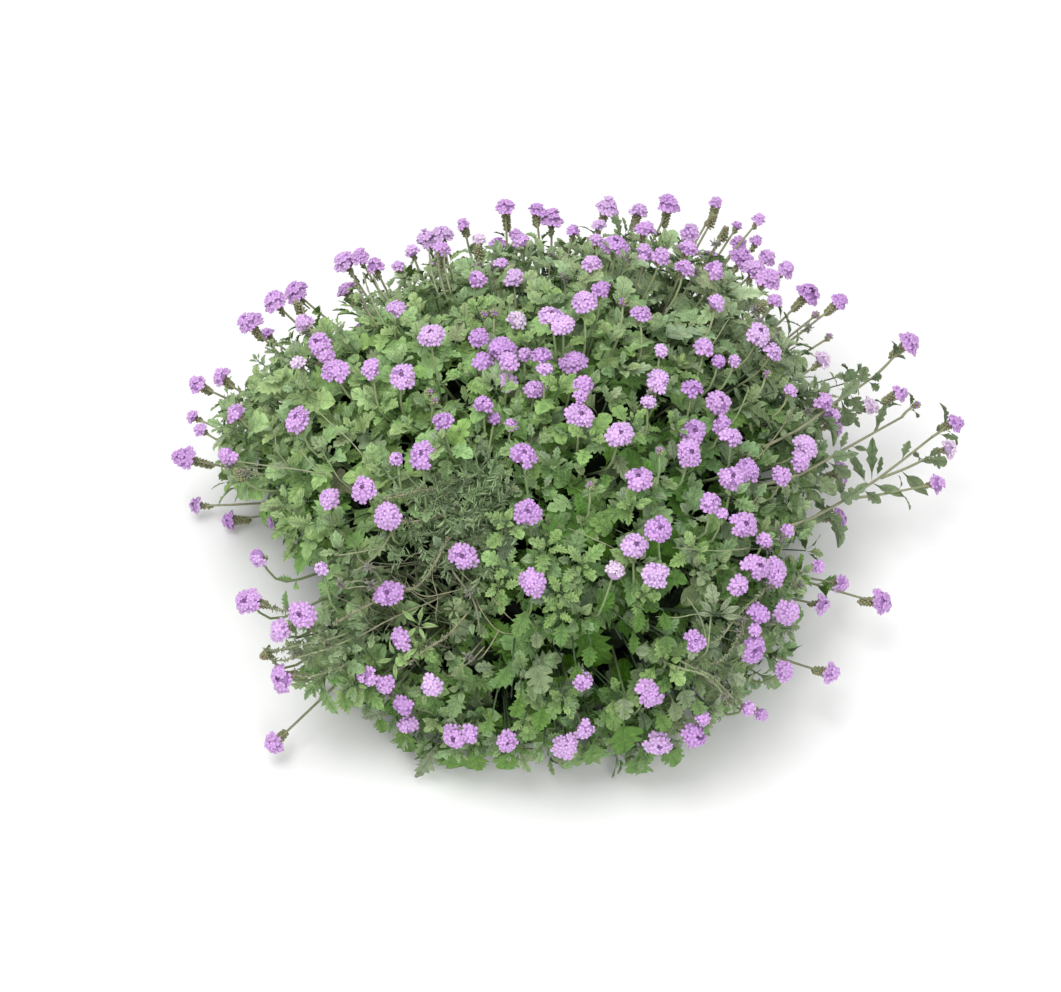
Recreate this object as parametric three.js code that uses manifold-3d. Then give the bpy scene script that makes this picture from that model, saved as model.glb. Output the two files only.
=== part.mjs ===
// A garden verbena, the whole plant cut off at the ground: one woody crown and 58 leafy branches that
// fill a low mound, each with its tuft of dense foliage, leaf rosettes and flower heads on long stalks.
// Millimetres, +Z up, origin at the middle of the crown's cut face, +Y towards the plant's back.
import * as THREE from "three";
import Module from "manifold-3d";

const wasm = await Module();
wasm.setup();

// ---- Driving dimensions ----
const MOUND_CENTRE = new THREE.Vector3(0, 0, 90);
const MOUND_RADII = new THREE.Vector3(352, 345, 240); // the leaf canopy is an ellipsoid cut by the ground
// The mound swells or draws in round these azimuths: share of its radius and half width in radians.
const SWELLS = [
  [-2.3, 0.1, 0.2],
  [-1.95, -0.06, 0.25],
  [-0.85, 0.11, 0.33],
  [0.72, 0.15, 0.55],
  [3, 0.09, 0.4],
];
// Open ground under the front left.
const HOLLOW = { azimuth: -2.8, share: 0.6, width: 0.33, height: 200 };
const BLOOM_LIFT = 1.07; // the heads stand on a mound this much larger than the canopy
const GROUND_CLEARANCE = 1.0;

const CROWN_RADIUS = 50;
const CROWN_HEIGHT = 46;
const BRANCH_COUNT = 58;
const STEM_ROOT_RADIUS = 3.2;
const STEM_TIP_RADIUS = 2.2;
const SEAT_GAP = 0.3;

const TUFT_INNER = 0.52; // shares of the way from the crown to the canopy
const TUFT_RIM = 0.68;
const TUFT_TOP = 0.78;
const TUFT_REACH = 0.3; // half angle of the widest tuft, in radians
const TUFT_GAP = 0.012;
const ROOT_REACH = 0.075; // what grows from a tuft starts within this angle of its middle

const HEAD_DIAMETER = { full: 35, half: 29, small: 22, bud: 12, spent: 17 };
const HEAD_FORM = {
  full: { lobes: 5, notch: 0.76, ring: true, top: 0.3 },
  half: { lobes: 5, notch: 0.76, ring: false, top: 0.5 },
  small: { lobes: 4, notch: 0.74, ring: false, top: 0.55 },
  bud: { lobes: 2, notch: 1, ring: false, top: 0.9 },
  spent: { lobes: 2, notch: 1, ring: false, top: 1.5 },
};
const STALK_RADIUS = 1.5;
const SHOOT_RADIUS = 1.7;
const SPRAY_LEAF = 34;
const LONG_STALK = 205; // from here on a stalk arches and carries leaf pairs

const LEAF_LENGTH = 50;
const LEAF_THICKNESS = 2.4; // at the rosette's middle, tapering to the leaf's edge
const ROSETTE_COUNT = 86;

const COLOURS = { crown: 0x6e5b43, branch: 0x5f8a45 };

// ---- Where the heads stand ----
// Each head lies on a sight line from the front, SIGHT_ELEVATION above the ground. Its place is given on
// a sight frame of 1061 x 992 steps of SIGHT_STEP, x to the right and y down, as it shows from there.
const SIGHT_ELEVATION = THREE.MathUtils.degToRad(53);
const TO_SIGHT = new THREE.Vector3(0, -Math.cos(SIGHT_ELEVATION), Math.sin(SIGHT_ELEVATION));
const SIGHT_DISTANCE = 2600;
const SIGHT_STEP = 1.2;
const SIGHT_MIDDLE = [530.5, 496];
const SIGHT_TARGET = new THREE.Vector3(7, 0, 90);

// Shoots that stand out beyond the mound: the joints of each, root first. A head that grows from one of
// them names the shoot and the joint after its place.
const SPRAYS = {
  upper: [[792, 480], [838, 453], [875, 432], [902, 417]],
  lower: [[800, 525], [847, 499], [881, 478], [917, 448], [932, 437]],
  top: [[798, 432], [830, 405], [853, 392], [876, 375]],
};

const HEADS = {
  full: [
    [426, 239], [443, 236], [345, 262], [361, 258], [275, 301], [296, 291], [249, 322], [319, 344],
    [335, 370], [431, 335], [402, 376], [297, 419], [183, 458], [422, 455], [364, 488], [387, 515],
    [463, 556], [388, 593], [247, 601], [301, 615], [281, 678], [455, 737], [565, 747], [658, 744],
    [695, 736], [650, 694], [753, 650], [788, 612], [882, 602], [757, 566], [776, 571], [656, 575],
    [635, 545], [659, 529], [744, 524], [732, 478], [748, 470], [806, 446], [638, 478], [620, 434],
    [690, 453], [694, 432], [659, 380], [759, 333], [668, 205], [607, 207], [615, 245], [584, 301],
    [552, 316], [563, 325], [581, 415], [524, 454], [528, 512], [532, 582], [552, 219], [743, 259],
    [754, 271], [767, 281], [808, 294], [909, 343, "top", 3], [719, 402], [574, 361], [502, 348],
  ],
  half: [
    [441, 249], [375, 266], [304, 322], [327, 356], [395, 308], [479, 337], [476, 279], [371, 368],
    [227, 455], [236, 413], [442, 421], [483, 404], [279, 631], [366, 676], [384, 684], [431, 686],
    [403, 706], [408, 725], [470, 735], [507, 742], [585, 729], [583, 681], [695, 641], [785, 671],
    [831, 673], [760, 613], [822, 604], [841, 584], [739, 586], [615, 572], [711, 502], [782, 475],
    [800, 461], [722, 424], [731, 437], [693, 388], [705, 346], [773, 351], [716, 303], [715, 270],
    [684, 268], [645, 252], [661, 257], [690, 232], [688, 248], [639, 211], [645, 229], [592, 263],
    [602, 289], [641, 313], [516, 320], [543, 355], [483, 360], [508, 361], [507, 381], [535, 389],
    [583, 384], [537, 211], [505, 207], [522, 242], [514, 277], [220, 377], [197, 384], [197, 505],
    [230, 520], [257, 557], [274, 744], [400, 640], [767, 257], [786, 269], [839, 302], [822, 360],
    [823, 403], [832, 417], [870, 407, "top", 1], [899, 393, "upper", 2], [955, 422, "lower", 4],
    [949, 449, "lower", 2], [937, 484, "lower", 1], [329, 498], [739, 244],
  ],
  small: [
    [463, 225], [478, 240], [412, 252], [399, 266], [298, 363], [193, 417], [200, 430], [397, 459],
    [321, 568], [755, 630], [818, 567], [722, 513], [788, 531], [765, 540], [648, 401], [661, 351],
    [719, 361], [735, 361], [599, 225], [597, 240], [545, 369], [525, 354], [580, 397], [511, 425],
    [494, 418], [573, 231], [515, 235], [502, 264], [737, 226], [757, 222], [756, 242], [775, 301],
    [790, 390], [748, 708], [761, 714], [703, 718], [716, 204],
  ],
  bud: [
    [623, 302], [484, 314], [494, 313], [429, 392], [434, 401], [590, 486], [660, 451], [814, 316],
    [829, 337], [767, 374], [917, 405, "upper", 3],
  ],
  spent: [
    [711, 222], [724, 234], [762, 307], [240, 474], [266, 655], [299, 308], [479, 252],
  ],
};
const BACK_HEAD_SPACING = 74; // the heads on the side away from the sight line keep this far apart
const BUNCH_SPACING = 27; // heads nearer than this grow from one branch

// ---- Small tools ----
// A draw from 0 to 1 that depends on its whole-number key alone.
function draw(key) {
  let h = Math.imul(key ^ 0x9e3779b9, 0x85ebca6b) >>> 0;
  h = Math.imul(h ^ (h >>> 13), 0xc2b2ae35) >>> 0;
  return ((h ^ (h >>> 16)) >>> 0) / 4294967296;
}

const vec = (x, y, z) => new THREE.Vector3(x, y, z);
const UP = vec(0, 0, 1);

// A closed surface that is put together from points, rings and bands.
class Shell {
  points = [];
  faces = [];
  point(p) {
    return this.points.push(p) - 1;
  }
  ring(points) {
    return points.map((p) => this.point(p));
  }
  fan(ring, tip) {
    ring.forEach((a, i) => this.faces.push([a, ring[(i + 1) % ring.length], tip]));
  }
  // A band between two rings that turn the same way and may differ in their number of points.
  band(low, high) {
    for (let i = 0, j = 0; i < low.length || j < high.length; ) {
      const a = low[i % low.length];
      const b = high[j % high.length];
      if (j >= high.length || (i < low.length && (i + 1) / low.length <= (j + 1) / high.length)) {
        this.faces.push([a, low[++i % low.length], b]);
      } else {
        this.faces.push([a, high[++j % high.length], b]);
      }
    }
  }
  cap(ring) {
    for (let i = 1; i < ring.length - 1; i++) this.faces.push([ring[0], ring[i + 1], ring[i]]);
  }
  solid() {
    const geometry = new THREE.BufferGeometry().setFromPoints(this.points).setIndex(this.faces.flat());
    return solidOf(geometry);
  }
}

function solidOf(geometry) {
  const vertProperties = geometry.getAttribute("position").array;
  const build = (triVerts) => new wasm.Manifold(new wasm.Mesh({ numProp: 3, vertProperties, triVerts }));
  const index = new Uint32Array(geometry.index.array);
  const made = build(index);
  if (made.volume() > 0) return made;
  for (let i = 0; i < index.length; i += 3) [index[i + 1], index[i + 2]] = [index[i + 2], index[i + 1]];
  return build(index);
}

// Two directions square to an axis, the first as near as it can be to a tangent.
function sideways(axis, tangent) {
  const v = axis.clone().cross(tangent).normalize();
  return [v.clone().cross(axis).normalize(), v];
}

// The level direction round the mound at a place.
function tangentAt(direction) {
  return UP.clone().cross(direction).normalize();
}

function circle(centre, axis, tangent, radius, count, turn = 0) {
  const [u, v] = sideways(axis, tangent);
  return Array.from({ length: count }, (_, i) => {
    const a = turn + (2 * Math.PI * i) / count;
    const [x, y] = [radius * Math.cos(a), radius * Math.sin(a)];
    return centre.clone().addScaledVector(u, x).addScaledVector(v, y);
  });
}

// ---- The mound ----
function reach({ x, y, z }) {
  const azimuth = Math.atan2(y, x);
  const bump = (at, width) => Math.exp(-(((Math.cos(azimuth - at) - 1) * 2) ** 2) / width ** 4);
  const low = THREE.MathUtils.clamp(1 - z / HOLLOW.height, 0, 1);
  const swell = SWELLS.reduce((sum, [at, share, width]) => sum + share * bump(at, width), 1);
  return swell - HOLLOW.share * low * bump(HOLLOW.azimuth, HOLLOW.width);
}

// 1 on the canopy, less inside it.
function depth(p) {
  const q = p.clone().sub(MOUND_CENTRE).divide(MOUND_RADII);
  return q.length() / reach(p);
}

function normalAt(p) {
  return p.clone().sub(MOUND_CENTRE).divide(MOUND_RADII).divide(MOUND_RADII).normalize();
}

const APEX = vec(0, 0, 18); // every branch points away from here, inside the crown

// How far the canopy is from the apex along a direction.
function canopy(direction) {
  let near = 0;
  let far = 700;
  for (let i = 0; i < 24; i++) {
    const middle = (near + far) / 2;
    if (depth(APEX.clone().addScaledVector(direction, middle)) < 1) near = middle;
    else far = middle;
  }
  return near;
}

// ---- Placing the heads ----
function onSightLine([x, y], size) {
  const across = (x - SIGHT_MIDDLE[0]) * SIGHT_STEP;
  const upward = (SIGHT_MIDDLE[1] - y) * SIGHT_STEP;
  const [s, c] = [Math.sin(SIGHT_ELEVATION), Math.cos(SIGHT_ELEVATION)];
  const eye = SIGHT_TARGET.clone().add(vec(0, -c * SIGHT_DISTANCE, s * SIGHT_DISTANCE));
  const aim = SIGHT_TARGET.clone().add(vec(across, upward * s, upward * c));
  const line = aim.sub(eye).normalize();
  let best = null;
  let least = Infinity;
  for (let t = SIGHT_DISTANCE - 600; t < SIGHT_DISTANCE + 600; t += 3) {
    const p = eye.clone().addScaledVector(line, t);
    const d = depth(p) / BLOOM_LIFT;
    if (p.z < size / 2 + GROUND_CLEARANCE) break;
    if (d < least) [best, least] = [p, d];
    if (d <= 1) break;
  }
  return best;
}

// The side that the sight line doesn't reach: an even spiral of places, kept where nothing stands yet.
function backPlaces(taken) {
  const found = [];
  const total = 240;
  for (const direction of spiral(total, 0.04, 0)) {
    const p = APEX.clone().addScaledVector(direction, canopy(direction) * BLOOM_LIFT);
    const facing = normalAt(p).dot(TO_SIGHT);
    if (facing > 0.05 || p.z < 40) continue;
    if ([...taken, ...found].every((q) => q.distanceTo(p) > BACK_HEAD_SPACING)) found.push(p);
  }
  return found;
}

function placeHeads() {
  const heads = [];
  for (const [kind, places] of Object.entries(HEADS)) {
    for (const place of places) {
      const size = HEAD_DIAMETER[kind];
      const [spray, joint] = [place[2], place[3]];
      heads.push({ kind, size, at: onSightLine(place, size), spray, joint });
    }
  }
  backPlaces(heads.map((h) => h.at)).forEach((at, i) => {
    const kind = i % 3 ? "full" : "half";
    heads.push({ kind, size: HEAD_DIAMETER[kind], at, back: true });
  });
  heads.forEach((head, i) => {
    head.key = i;
    head.away = head.at.clone().sub(APEX).normalize();
    head.axis = normalAt(head.at).addScaledVector(UP, 0.35);
    head.axis.add(vec(draw(i * 7 + 1) - 0.5, draw(i * 7 + 2) - 0.5, 0).multiplyScalar(0.5)).normalize();
  });
  return heads;
}

// ---- Sharing the heads out among the branches ----
// An even spiral of directions over the half sphere.
function spiral(count, lowest, turn) {
  return Array.from({ length: count }, (_, i) => {
    const z = lowest + ((1 - lowest) * (i + 0.5)) / count;
    const azimuth = turn + i * Math.PI * (3 - Math.sqrt(5));
    const flat = Math.sqrt(1 - z * z);
    return vec(flat * Math.cos(azimuth), flat * Math.sin(azimuth), z);
  });
}

function growBranches() {
  return spiral(BRANCH_COUNT, 0.05, 0.3).map((axis, key) => ({ key, axis, heads: [], solids: [] }));
}

// Where something that grows in a direction starts, inside its branch's tuft and near the tuft's middle.
function rootOf(direction, branch, share) {
  const angle = direction.angleTo(branch.axis);
  const kept = Math.min(angle * share, ROOT_REACH);
  const way = branch.axis.clone().lerp(direction, angle > 0.001 ? kept / angle : 0).normalize();
  return APEX.clone().addScaledVector(way, canopy(branch.axis) * (TUFT_INNER + 0.075));
}

function nearestBranch(branches, direction) {
  const away = (branch) => branch.axis.distanceTo(direction);
  return branches.reduce((a, b) => (away(a) <= away(b) ? a : b));
}

function shareOut(heads, branches, sprays) {
  for (const head of heads) {
    if (head.spray) {
      head.spray = sprays[head.spray];
      head.branch = head.spray.branch;
      head.branch.heads.push(head);
      continue;
    }
    const mate = heads.find((h) => h.branch && h.at.distanceTo(head.at) < BUNCH_SPACING);
    head.branch = mate ? mate.branch : nearestBranch(branches, head.away);
    head.branch.heads.push(head);
  }
}

function growSprays(branches) {
  const grow = (line) => {
    const joints = line.map((place) => onSightLine(place, HEAD_DIAMETER.bud));
    const away = joints[0].clone().sub(APEX).normalize();
    const branch = nearestBranch(branches, away);
    return { joints, branch, root: rootOf(away, branch, 0.7) };
  };
  return Object.fromEntries(Object.entries(SPRAYS).map(([name, line]) => [name, grow(line)]));
}

// ---- The crown ----
function crown() {
  const profile = [
    [0, 0],
    [42, 0],
    [CROWN_RADIUS, 12],
    [44, 30],
    [26, CROWN_HEIGHT - 4],
    [0, CROWN_HEIGHT],
  ];
  const lathe = new THREE.LatheGeometry(profile.map(([x, y]) => new THREE.Vector2(x, y)), 14);
  lathe.rotateX(Math.PI / 2);
  const place = lathe.getAttribute("position");
  const shell = new Shell();
  const rings = [];
  for (let j = 1; j < profile.length - 1; j++) {
    const ring = [];
    for (let i = 0; i < 14; i++) {
      const k = i * profile.length + j;
      const swell = j === 1 ? 1 : 1 + 0.14 * (draw(9000 + i * 10 + j) - 0.5);
      ring.push(vec(place.getX(k) * swell, place.getY(k) * swell, place.getZ(k)));
    }
    rings.push(shell.ring(ring));
  }
  shell.fan([...rings[0]].reverse(), shell.point(vec(0, 0, 0)));
  for (let j = 1; j < rings.length; j++) shell.band(rings[j - 1], rings[j]);
  shell.fan(rings.at(-1), shell.point(vec(0, 0, CROWN_HEIGHT)));
  return shell.solid();
}

// ---- The stem and the tuft of a branch ----
function stem(branch, grownCrown) {
  const end = canopy(branch.axis) * (TUFT_INNER + 0.1);
  const shell = new Shell();
  const at = (t) => APEX.clone().addScaledVector(branch.axis, t);
  const tangent = tangentAt(branch.axis);
  const root = shell.ring(circle(at(CROWN_RADIUS * 0.4), branch.axis, tangent, STEM_ROOT_RADIUS, 3));
  const tip = shell.ring(circle(at(end), branch.axis, tangent, STEM_TIP_RADIUS, 3));
  shell.cap(root);
  shell.band(root, tip);
  shell.cap([...tip].reverse());
  return shell.solid().subtract(grownCrown).trimByPlane([0, 0, 1], GROUND_CLEARANCE);
}

// The tuft's outline is the part of the sky nearer to this branch than to any other, as directions.
function cell(branch, branches) {
  const [u, v] = sideways(branch.axis, tangentAt(branch.axis));
  let outline = Array.from({ length: 7 }, (_, i) => {
    const a = (2 * Math.PI * (i + draw(branch.key))) / 7;
    return [TUFT_REACH * Math.cos(a), TUFT_REACH * Math.sin(a)];
  });
  const walls = branches
    .filter((other) => other !== branch)
    .map((other) => [branch.axis.clone().sub(other.axis), TUFT_GAP]);
  walls.push([UP, 0.005]);
  for (const [wall, gap] of walls) {
    const inside = ([a, b]) =>
      branch.axis.clone().addScaledVector(u, a).addScaledVector(v, b).dot(wall) - gap;
    const kept = [];
    outline.forEach((p, i) => {
      const q = outline[(i + 1) % outline.length];
      const [from, to] = [inside(p), inside(q)];
      if (from >= 0) kept.push(p);
      if (from >= 0 !== to >= 0) {
        const share = from / (from - to);
        kept.push([p[0] + (q[0] - p[0]) * share, p[1] + (q[1] - p[1]) * share]);
      }
    });
    outline = kept;
  }
  const corners = outline.filter(([a, b], i) => {
    const [c, d] = outline[(i + 1) % outline.length];
    return Math.hypot(a - c, b - d) > 0.035;
  });
  return corners.map(([a, b]) =>
    branch.axis.clone().addScaledVector(u, a).addScaledVector(v, b).normalize(),
  );
}

function tuft(branch) {
  const shell = new Shell();
  const usual = canopy(branch.axis);
  const at = (direction, share) => {
    const out = THREE.MathUtils.clamp(canopy(direction), usual * 0.72, usual * 1.1);
    return APEX.clone().addScaledVector(direction, out * share);
  };
  const inner = shell.ring(branch.cell.map((d) => at(d, TUFT_INNER)));
  const rim = shell.ring(
    branch.cell.map((d, i) => at(d, TUFT_RIM - 0.05 * draw(branch.key * 20 + i + 500))),
  );
  shell.cap(inner);
  shell.band(inner, rim);
  shell.fan(rim, shell.point(at(branch.axis, TUFT_TOP)));
  return shell.solid().trimByPlane([0, 0, 1], GROUND_CLEARANCE);
}

// ---- A flower head on its stalk ----
// A three-sided tube along a line, closed at its root. Its last ring is left open.
function tube(shell, line, tangent, radius, end) {
  let last = null;
  line.forEach((p, i) => {
    const along = i === line.length - 1 ? end : line[i + 1].clone().sub(p).normalize();
    const ring = shell.ring(circle(p, along, tangent, radius, 3));
    if (last) shell.band(last, ring);
    else shell.cap(ring);
    last = ring;
  });
  return last;
}

function spraySolid(spray, push, radius) {
  const shell = new Shell();
  const joints = spray.joints.map((p) => p.clone().addScaledVector(TO_SIGHT, push));
  const end = joints.at(-1).clone().sub(joints.at(-2)).normalize();
  const last = tube(shell, [spray.root, ...joints], tangentAt(end), radius, end);
  shell.cap([...last].reverse());
  return shell.solid();
}

function stalkLine(head, lean) {
  if (head.spray) {
    return [head.spray.joints[head.joint], head.at.clone().addScaledVector(head.axis, -0.42 * head.size)];
  }
  const root = rootOf(head.away, head.branch, lean);
  const neck = head.at.clone().addScaledVector(head.axis, -0.42 * head.size);
  const length = root.distanceTo(neck);
  const line = [root, neck];
  if (length > LONG_STALK) {
    const bend = root.clone().lerp(neck, 0.55).addScaledVector(UP, 0.07 * length);
    line.splice(1, 0, bend);
  }
  return line;
}

function headSolid(head, lean, grow) {
  const radius = (head.size / 2) * grow;
  const line = stalkLine(head, lean);
  const shell = new Shell();
  const thick = STALK_RADIUS * (grow > 1 ? 1.3 : 1);
  const tangent = tangentAt(head.away);
  const last = tube(shell, line, tangent, thick, head.axis);
  const [u, v] = sideways(head.axis, tangent);
  const lift = (share) => head.at.clone().addScaledVector(head.axis, share * radius);
  const around = (share, angle, height) =>
    lift(height)
      .addScaledVector(u, share * radius * Math.cos(angle))
      .addScaledVector(v, share * radius * Math.sin(angle));
  const { lobes, notch, ring, top } = HEAD_FORM[head.kind];
  const step = Math.PI / lobes;
  const rim = [];
  const inner = [];
  for (let i = 0; i < lobes; i++) {
    rim.push(around(1, 2 * i * step, -0.1), around(notch, (2 * i + 1) * step, 0.02));
    inner.push(around(0.56, 2 * i * step, 0.42));
  }
  let outer = shell.ring(rim);
  shell.band(last, outer);
  if (ring) {
    const innerRing = shell.ring(inner);
    shell.band(outer, innerRing);
    outer = innerRing;
  }
  shell.fan(outer, shell.point(lift(top)));
  return shell.solid();
}

// ---- Leaves ----
// Half a leaf's outline, as shares of its length along and across: side lobe, notch and tip.
const LEAF_HALF = [[0.54, 0.34], [0.66, 0.17], [1, 0]];
const LEAF_VALLEY = 0.17;

// Leaves spread round a point: outline, arch and droop in one rim, thickest at the middle.
function leafRim(centre, axis, tangent, turn, lengths, droop) {
  const [u, v] = sideways(axis, tangent);
  const rim = [];
  const place = (x, y, angle, size) => {
    const [c, s] = [Math.cos(angle), Math.sin(angle)];
    const p = centre
      .clone()
      .addScaledVector(u, size * (x * c - y * s))
      .addScaledVector(v, size * (x * s + y * c))
      .addScaledVector(axis, size * (0.2 * Math.abs(y) + 0.1 * x - droop * x * x));
    p.z = Math.max(p.z, GROUND_CLEARANCE + 1);
    rim.push(p);
  };
  lengths.forEach((size, k) => {
    const angle = turn + (2 * Math.PI * k) / lengths.length;
    LEAF_HALF.forEach(([x, y]) => place(x, -y, angle, size));
    [...LEAF_HALF].reverse().slice(1).forEach(([x, y]) => place(x, y, angle, size));
    place(LEAF_VALLEY, 0, angle + Math.PI / lengths.length, size);
  });
  return rim;
}

// Four leaves in two crossed pairs at the end of a short shoot.
function rosette(root, centre, axis, turn, size, thickness) {
  const shell = new Shell();
  const along = centre.clone().sub(root).normalize();
  const tangent = tangentAt(along);
  const under = centre.clone().addScaledVector(axis, -thickness / 2);
  const foot = shell.ring(circle(root, along, tangent, SHOOT_RADIUS, 3, turn));
  const neck = shell.ring(circle(under, axis, tangent, SHOOT_RADIUS, 3, turn));
  const lengths = [size, 0.84 * size, size, 0.84 * size];
  const rim = shell.ring(leafRim(centre, axis, tangent, turn, lengths, 0.34));
  shell.cap(foot);
  shell.band(foot, neck);
  shell.band(neck, rim);
  shell.fan(rim, shell.point(centre.clone().addScaledVector(axis, thickness / 2)));
  return shell.solid();
}

// Two leaves across a long stalk.
function leafPair(centre, axis, turn, size, thickness) {
  const shell = new Shell();
  const rim = shell.ring(leafRim(centre, axis, tangentAt(axis), turn, [size, size], 0.25));
  shell.fan(rim, shell.point(centre.clone().addScaledVector(axis, thickness)));
  shell.fan([...rim].reverse(), shell.point(centre.clone().addScaledVector(axis, -thickness)));
  return shell.solid();
}

// ---- Keeping the branches clear of each other ----
function boxesMeet(a, b) {
  return [0, 1, 2].every((i) => a.min[i] <= b.max[i] && b.min[i] <= a.max[i]);
}

// Clear of every other branch, and of what its own branch carries save for what it grows from.
function isClear(solid, branch, branches, grownFrom) {
  const box = solid.boundingBox();
  return branches.every((other) =>
    other.solids.every(
      (s, i) =>
        (other === branch && (i < 2 || grownFrom === "own" || s === grownFrom)) ||
        !boxesMeet(box, s.boundingBox()) ||
        solid.intersect(s).volume() < 1e-6,
    ),
  );
}

// The first of several trials whose grown form is clear; its true form joins the branch.
function placeFirstClear(branch, branches, trials, grownFrom = null) {
  for (const make of trials) {
    if (isClear(make(true), branch, branches, grownFrom)) {
      branch.solids.push(make(false));
      return branch.solids.at(-1);
    }
  }
  return null;
}

function placeSpray(spray, branches) {
  const makes = [0, 9, 18, 27, 36, 45].map((push) => (testing) => {
    spray.push = push;
    return spraySolid(spray, push, SHOOT_RADIUS + (testing ? 0.6 : 0));
  });
  spray.placed = placeFirstClear(spray.branch, branches, makes);
  for (const p of spray.joints) p.addScaledVector(TO_SIGHT, spray.push);
}

function placeHead(head, branches) {
  const trials = [];
  for (const push of [0, 9, 18, 27, 36, 48]) {
    for (const size of [1, 0.88, 0.76]) {
      for (const lean of [0.7, 0.4, 1, 0]) trials.push([push, size, lean]);
    }
  }
  const from = head.at.clone();
  const size = head.size;
  const makes = trials.map(([push, share, lean]) => (testing) => {
    head.at = from.clone().addScaledVector(head.back ? head.axis : TO_SIGHT, push);
    head.size = size * share;
    head.lean = lean;
    return headSolid(head, lean, testing ? 1.06 : 1);
  });
  return (
    placeFirstClear(head.branch, branches, makes, head.spray?.placed) ??
    placeFirstClear(head.branch, branches, makes, "own")
  );
}

function placeRosette(i, direction, branches) {
  const branch = nearestBranch(branches, direction);
  const out = canopy(direction);
  const root = rootOf(direction, branch, 0.7);
  const normal = normalAt(APEX.clone().addScaledVector(direction, out)).addScaledVector(UP, 0.25);
  normal.add(vec(draw(i * 5 + 3001) - 0.5, draw(i * 5 + 3002) - 0.5, 0).multiplyScalar(0.6)).normalize();
  const trials = [];
  for (const size of [1.08, 0.96, 0.84, 0.72]) {
    for (const height of [0.97, 0.92, 1.01]) {
      for (let k = 0; k < 6; k++) trials.push([size, height, k]);
    }
  }
  return placeFirstClear(
    branch,
    branches,
    trials.map(([size, height, k]) => (testing) => {
      const turn = (draw(i * 5 + 3003) + k / 6) * (Math.PI / 2);
      const centre = APEX.clone().addScaledVector(direction, out * height - 6);
      const grown = testing ? 1 : 0;
      return rosette(root, centre, normal, turn, LEAF_LENGTH * size + grown, LEAF_THICKNESS + 2 * grown);
    }),
  );
}

// A leaf pair at a joint between two stretches of a stalk or spray.
function placePair(before, centre, size, key, branch, branches, grownFrom) {
  const along = centre.clone().sub(before).normalize();
  const axis = along.clone().addScaledVector(UP, 0.9).normalize();
  const makes = [1, 0.85, 0.7, 0.55].map((share) => (testing) => {
    const grown = testing ? 1 : 0;
    return leafPair(centre, axis, Math.PI * draw(key), size * share + grown, LEAF_THICKNESS / 2 + grown);
  });
  placeFirstClear(branch, branches, makes, grownFrom);
}

// ---- The whole plant ----
function meshOf(name, solid, colour, roughness) {
  const mesh = solid.getMesh();
  const geometry = new THREE.BufferGeometry();
  geometry.setAttribute("position", new THREE.BufferAttribute(new Float32Array(mesh.vertProperties), 3));
  geometry.setIndex(new THREE.BufferAttribute(new Uint32Array(mesh.triVerts), 1));
  const material = new THREE.MeshStandardMaterial({ color: colour, roughness, metalness: 0 });
  const made = new THREE.Mesh(geometry, material);
  made.name = name;
  return made;
}

const largest = (solid) => solid.decompose().reduce((a, b) => (a.volume() > b.volume() ? a : b));

const heads = placeHeads();
const branches = growBranches();
const sprays = growSprays(branches);
shareOut(heads, branches, sprays);

const crownSolid = crown();
const grown = 1 + SEAT_GAP / (CROWN_RADIUS * 0.7);
const grownCrown = crownSolid.scale([grown, grown, grown]);
for (const branch of branches) {
  branch.cell = cell(branch, branches);
  branch.solids.push(largest(stem(branch, grownCrown)), tuft(branch));
}
for (const spray of Object.values(sprays)) placeSpray(spray, branches);
for (const head of heads) head.placed = placeHead(head, branches);
for (const head of heads) {
  const [from, to, end] = stalkLine(head, head.lean);
  if (end) placePair(from, to, 0.8 * LEAF_LENGTH, head.key + 7000, head.branch, branches, head.placed);
}
for (const { root, joints, branch, placed } of Object.values(sprays)) {
  joints.forEach((to, i) => {
    placePair(joints[i - 1] ?? root, to, SPRAY_LEAF, 7600 + i, branch, branches, placed);
  });
}
spiral(ROSETTE_COUNT, 0.02, 0).forEach((direction, i) => placeRosette(i, direction, branches));

const plant = new THREE.Group();
plant.add(meshOf("crown", crownSolid, COLOURS.crown, 0.9));
for (const branch of branches) {
  const name = "branch_" + String(branch.key + 1).padStart(2, "0");
  plant.add(meshOf(name, largest(wasm.Manifold.union(branch.solids)), COLOURS.branch, 0.7));
}

export default plant;
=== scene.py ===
"""A garden verbena: leafy shoots, flower heads, stalks and woody crown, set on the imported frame."""

import math
from collections import namedtuple

import bpy
import numpy as np
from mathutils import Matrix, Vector
from mathutils.kdtree import KDTree


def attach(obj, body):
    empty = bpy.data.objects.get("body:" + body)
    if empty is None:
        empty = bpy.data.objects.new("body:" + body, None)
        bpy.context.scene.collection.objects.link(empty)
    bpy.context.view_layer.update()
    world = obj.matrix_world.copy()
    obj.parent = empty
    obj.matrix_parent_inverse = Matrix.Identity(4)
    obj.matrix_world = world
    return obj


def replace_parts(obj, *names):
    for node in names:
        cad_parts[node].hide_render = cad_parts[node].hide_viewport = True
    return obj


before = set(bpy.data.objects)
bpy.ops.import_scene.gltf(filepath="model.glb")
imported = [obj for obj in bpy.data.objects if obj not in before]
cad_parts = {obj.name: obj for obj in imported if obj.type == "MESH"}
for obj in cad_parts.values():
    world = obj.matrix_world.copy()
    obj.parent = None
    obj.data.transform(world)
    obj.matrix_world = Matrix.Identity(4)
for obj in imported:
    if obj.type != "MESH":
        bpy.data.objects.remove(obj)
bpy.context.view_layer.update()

MM = 0.001
TAU = 2 * math.pi
UP = np.array([0.0, 0.0, 1.0])
LEVEL = np.array([1.0, 1.0, 0.0])
OFF_PLUMB = np.array([1e-4, 0, 0])

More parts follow.
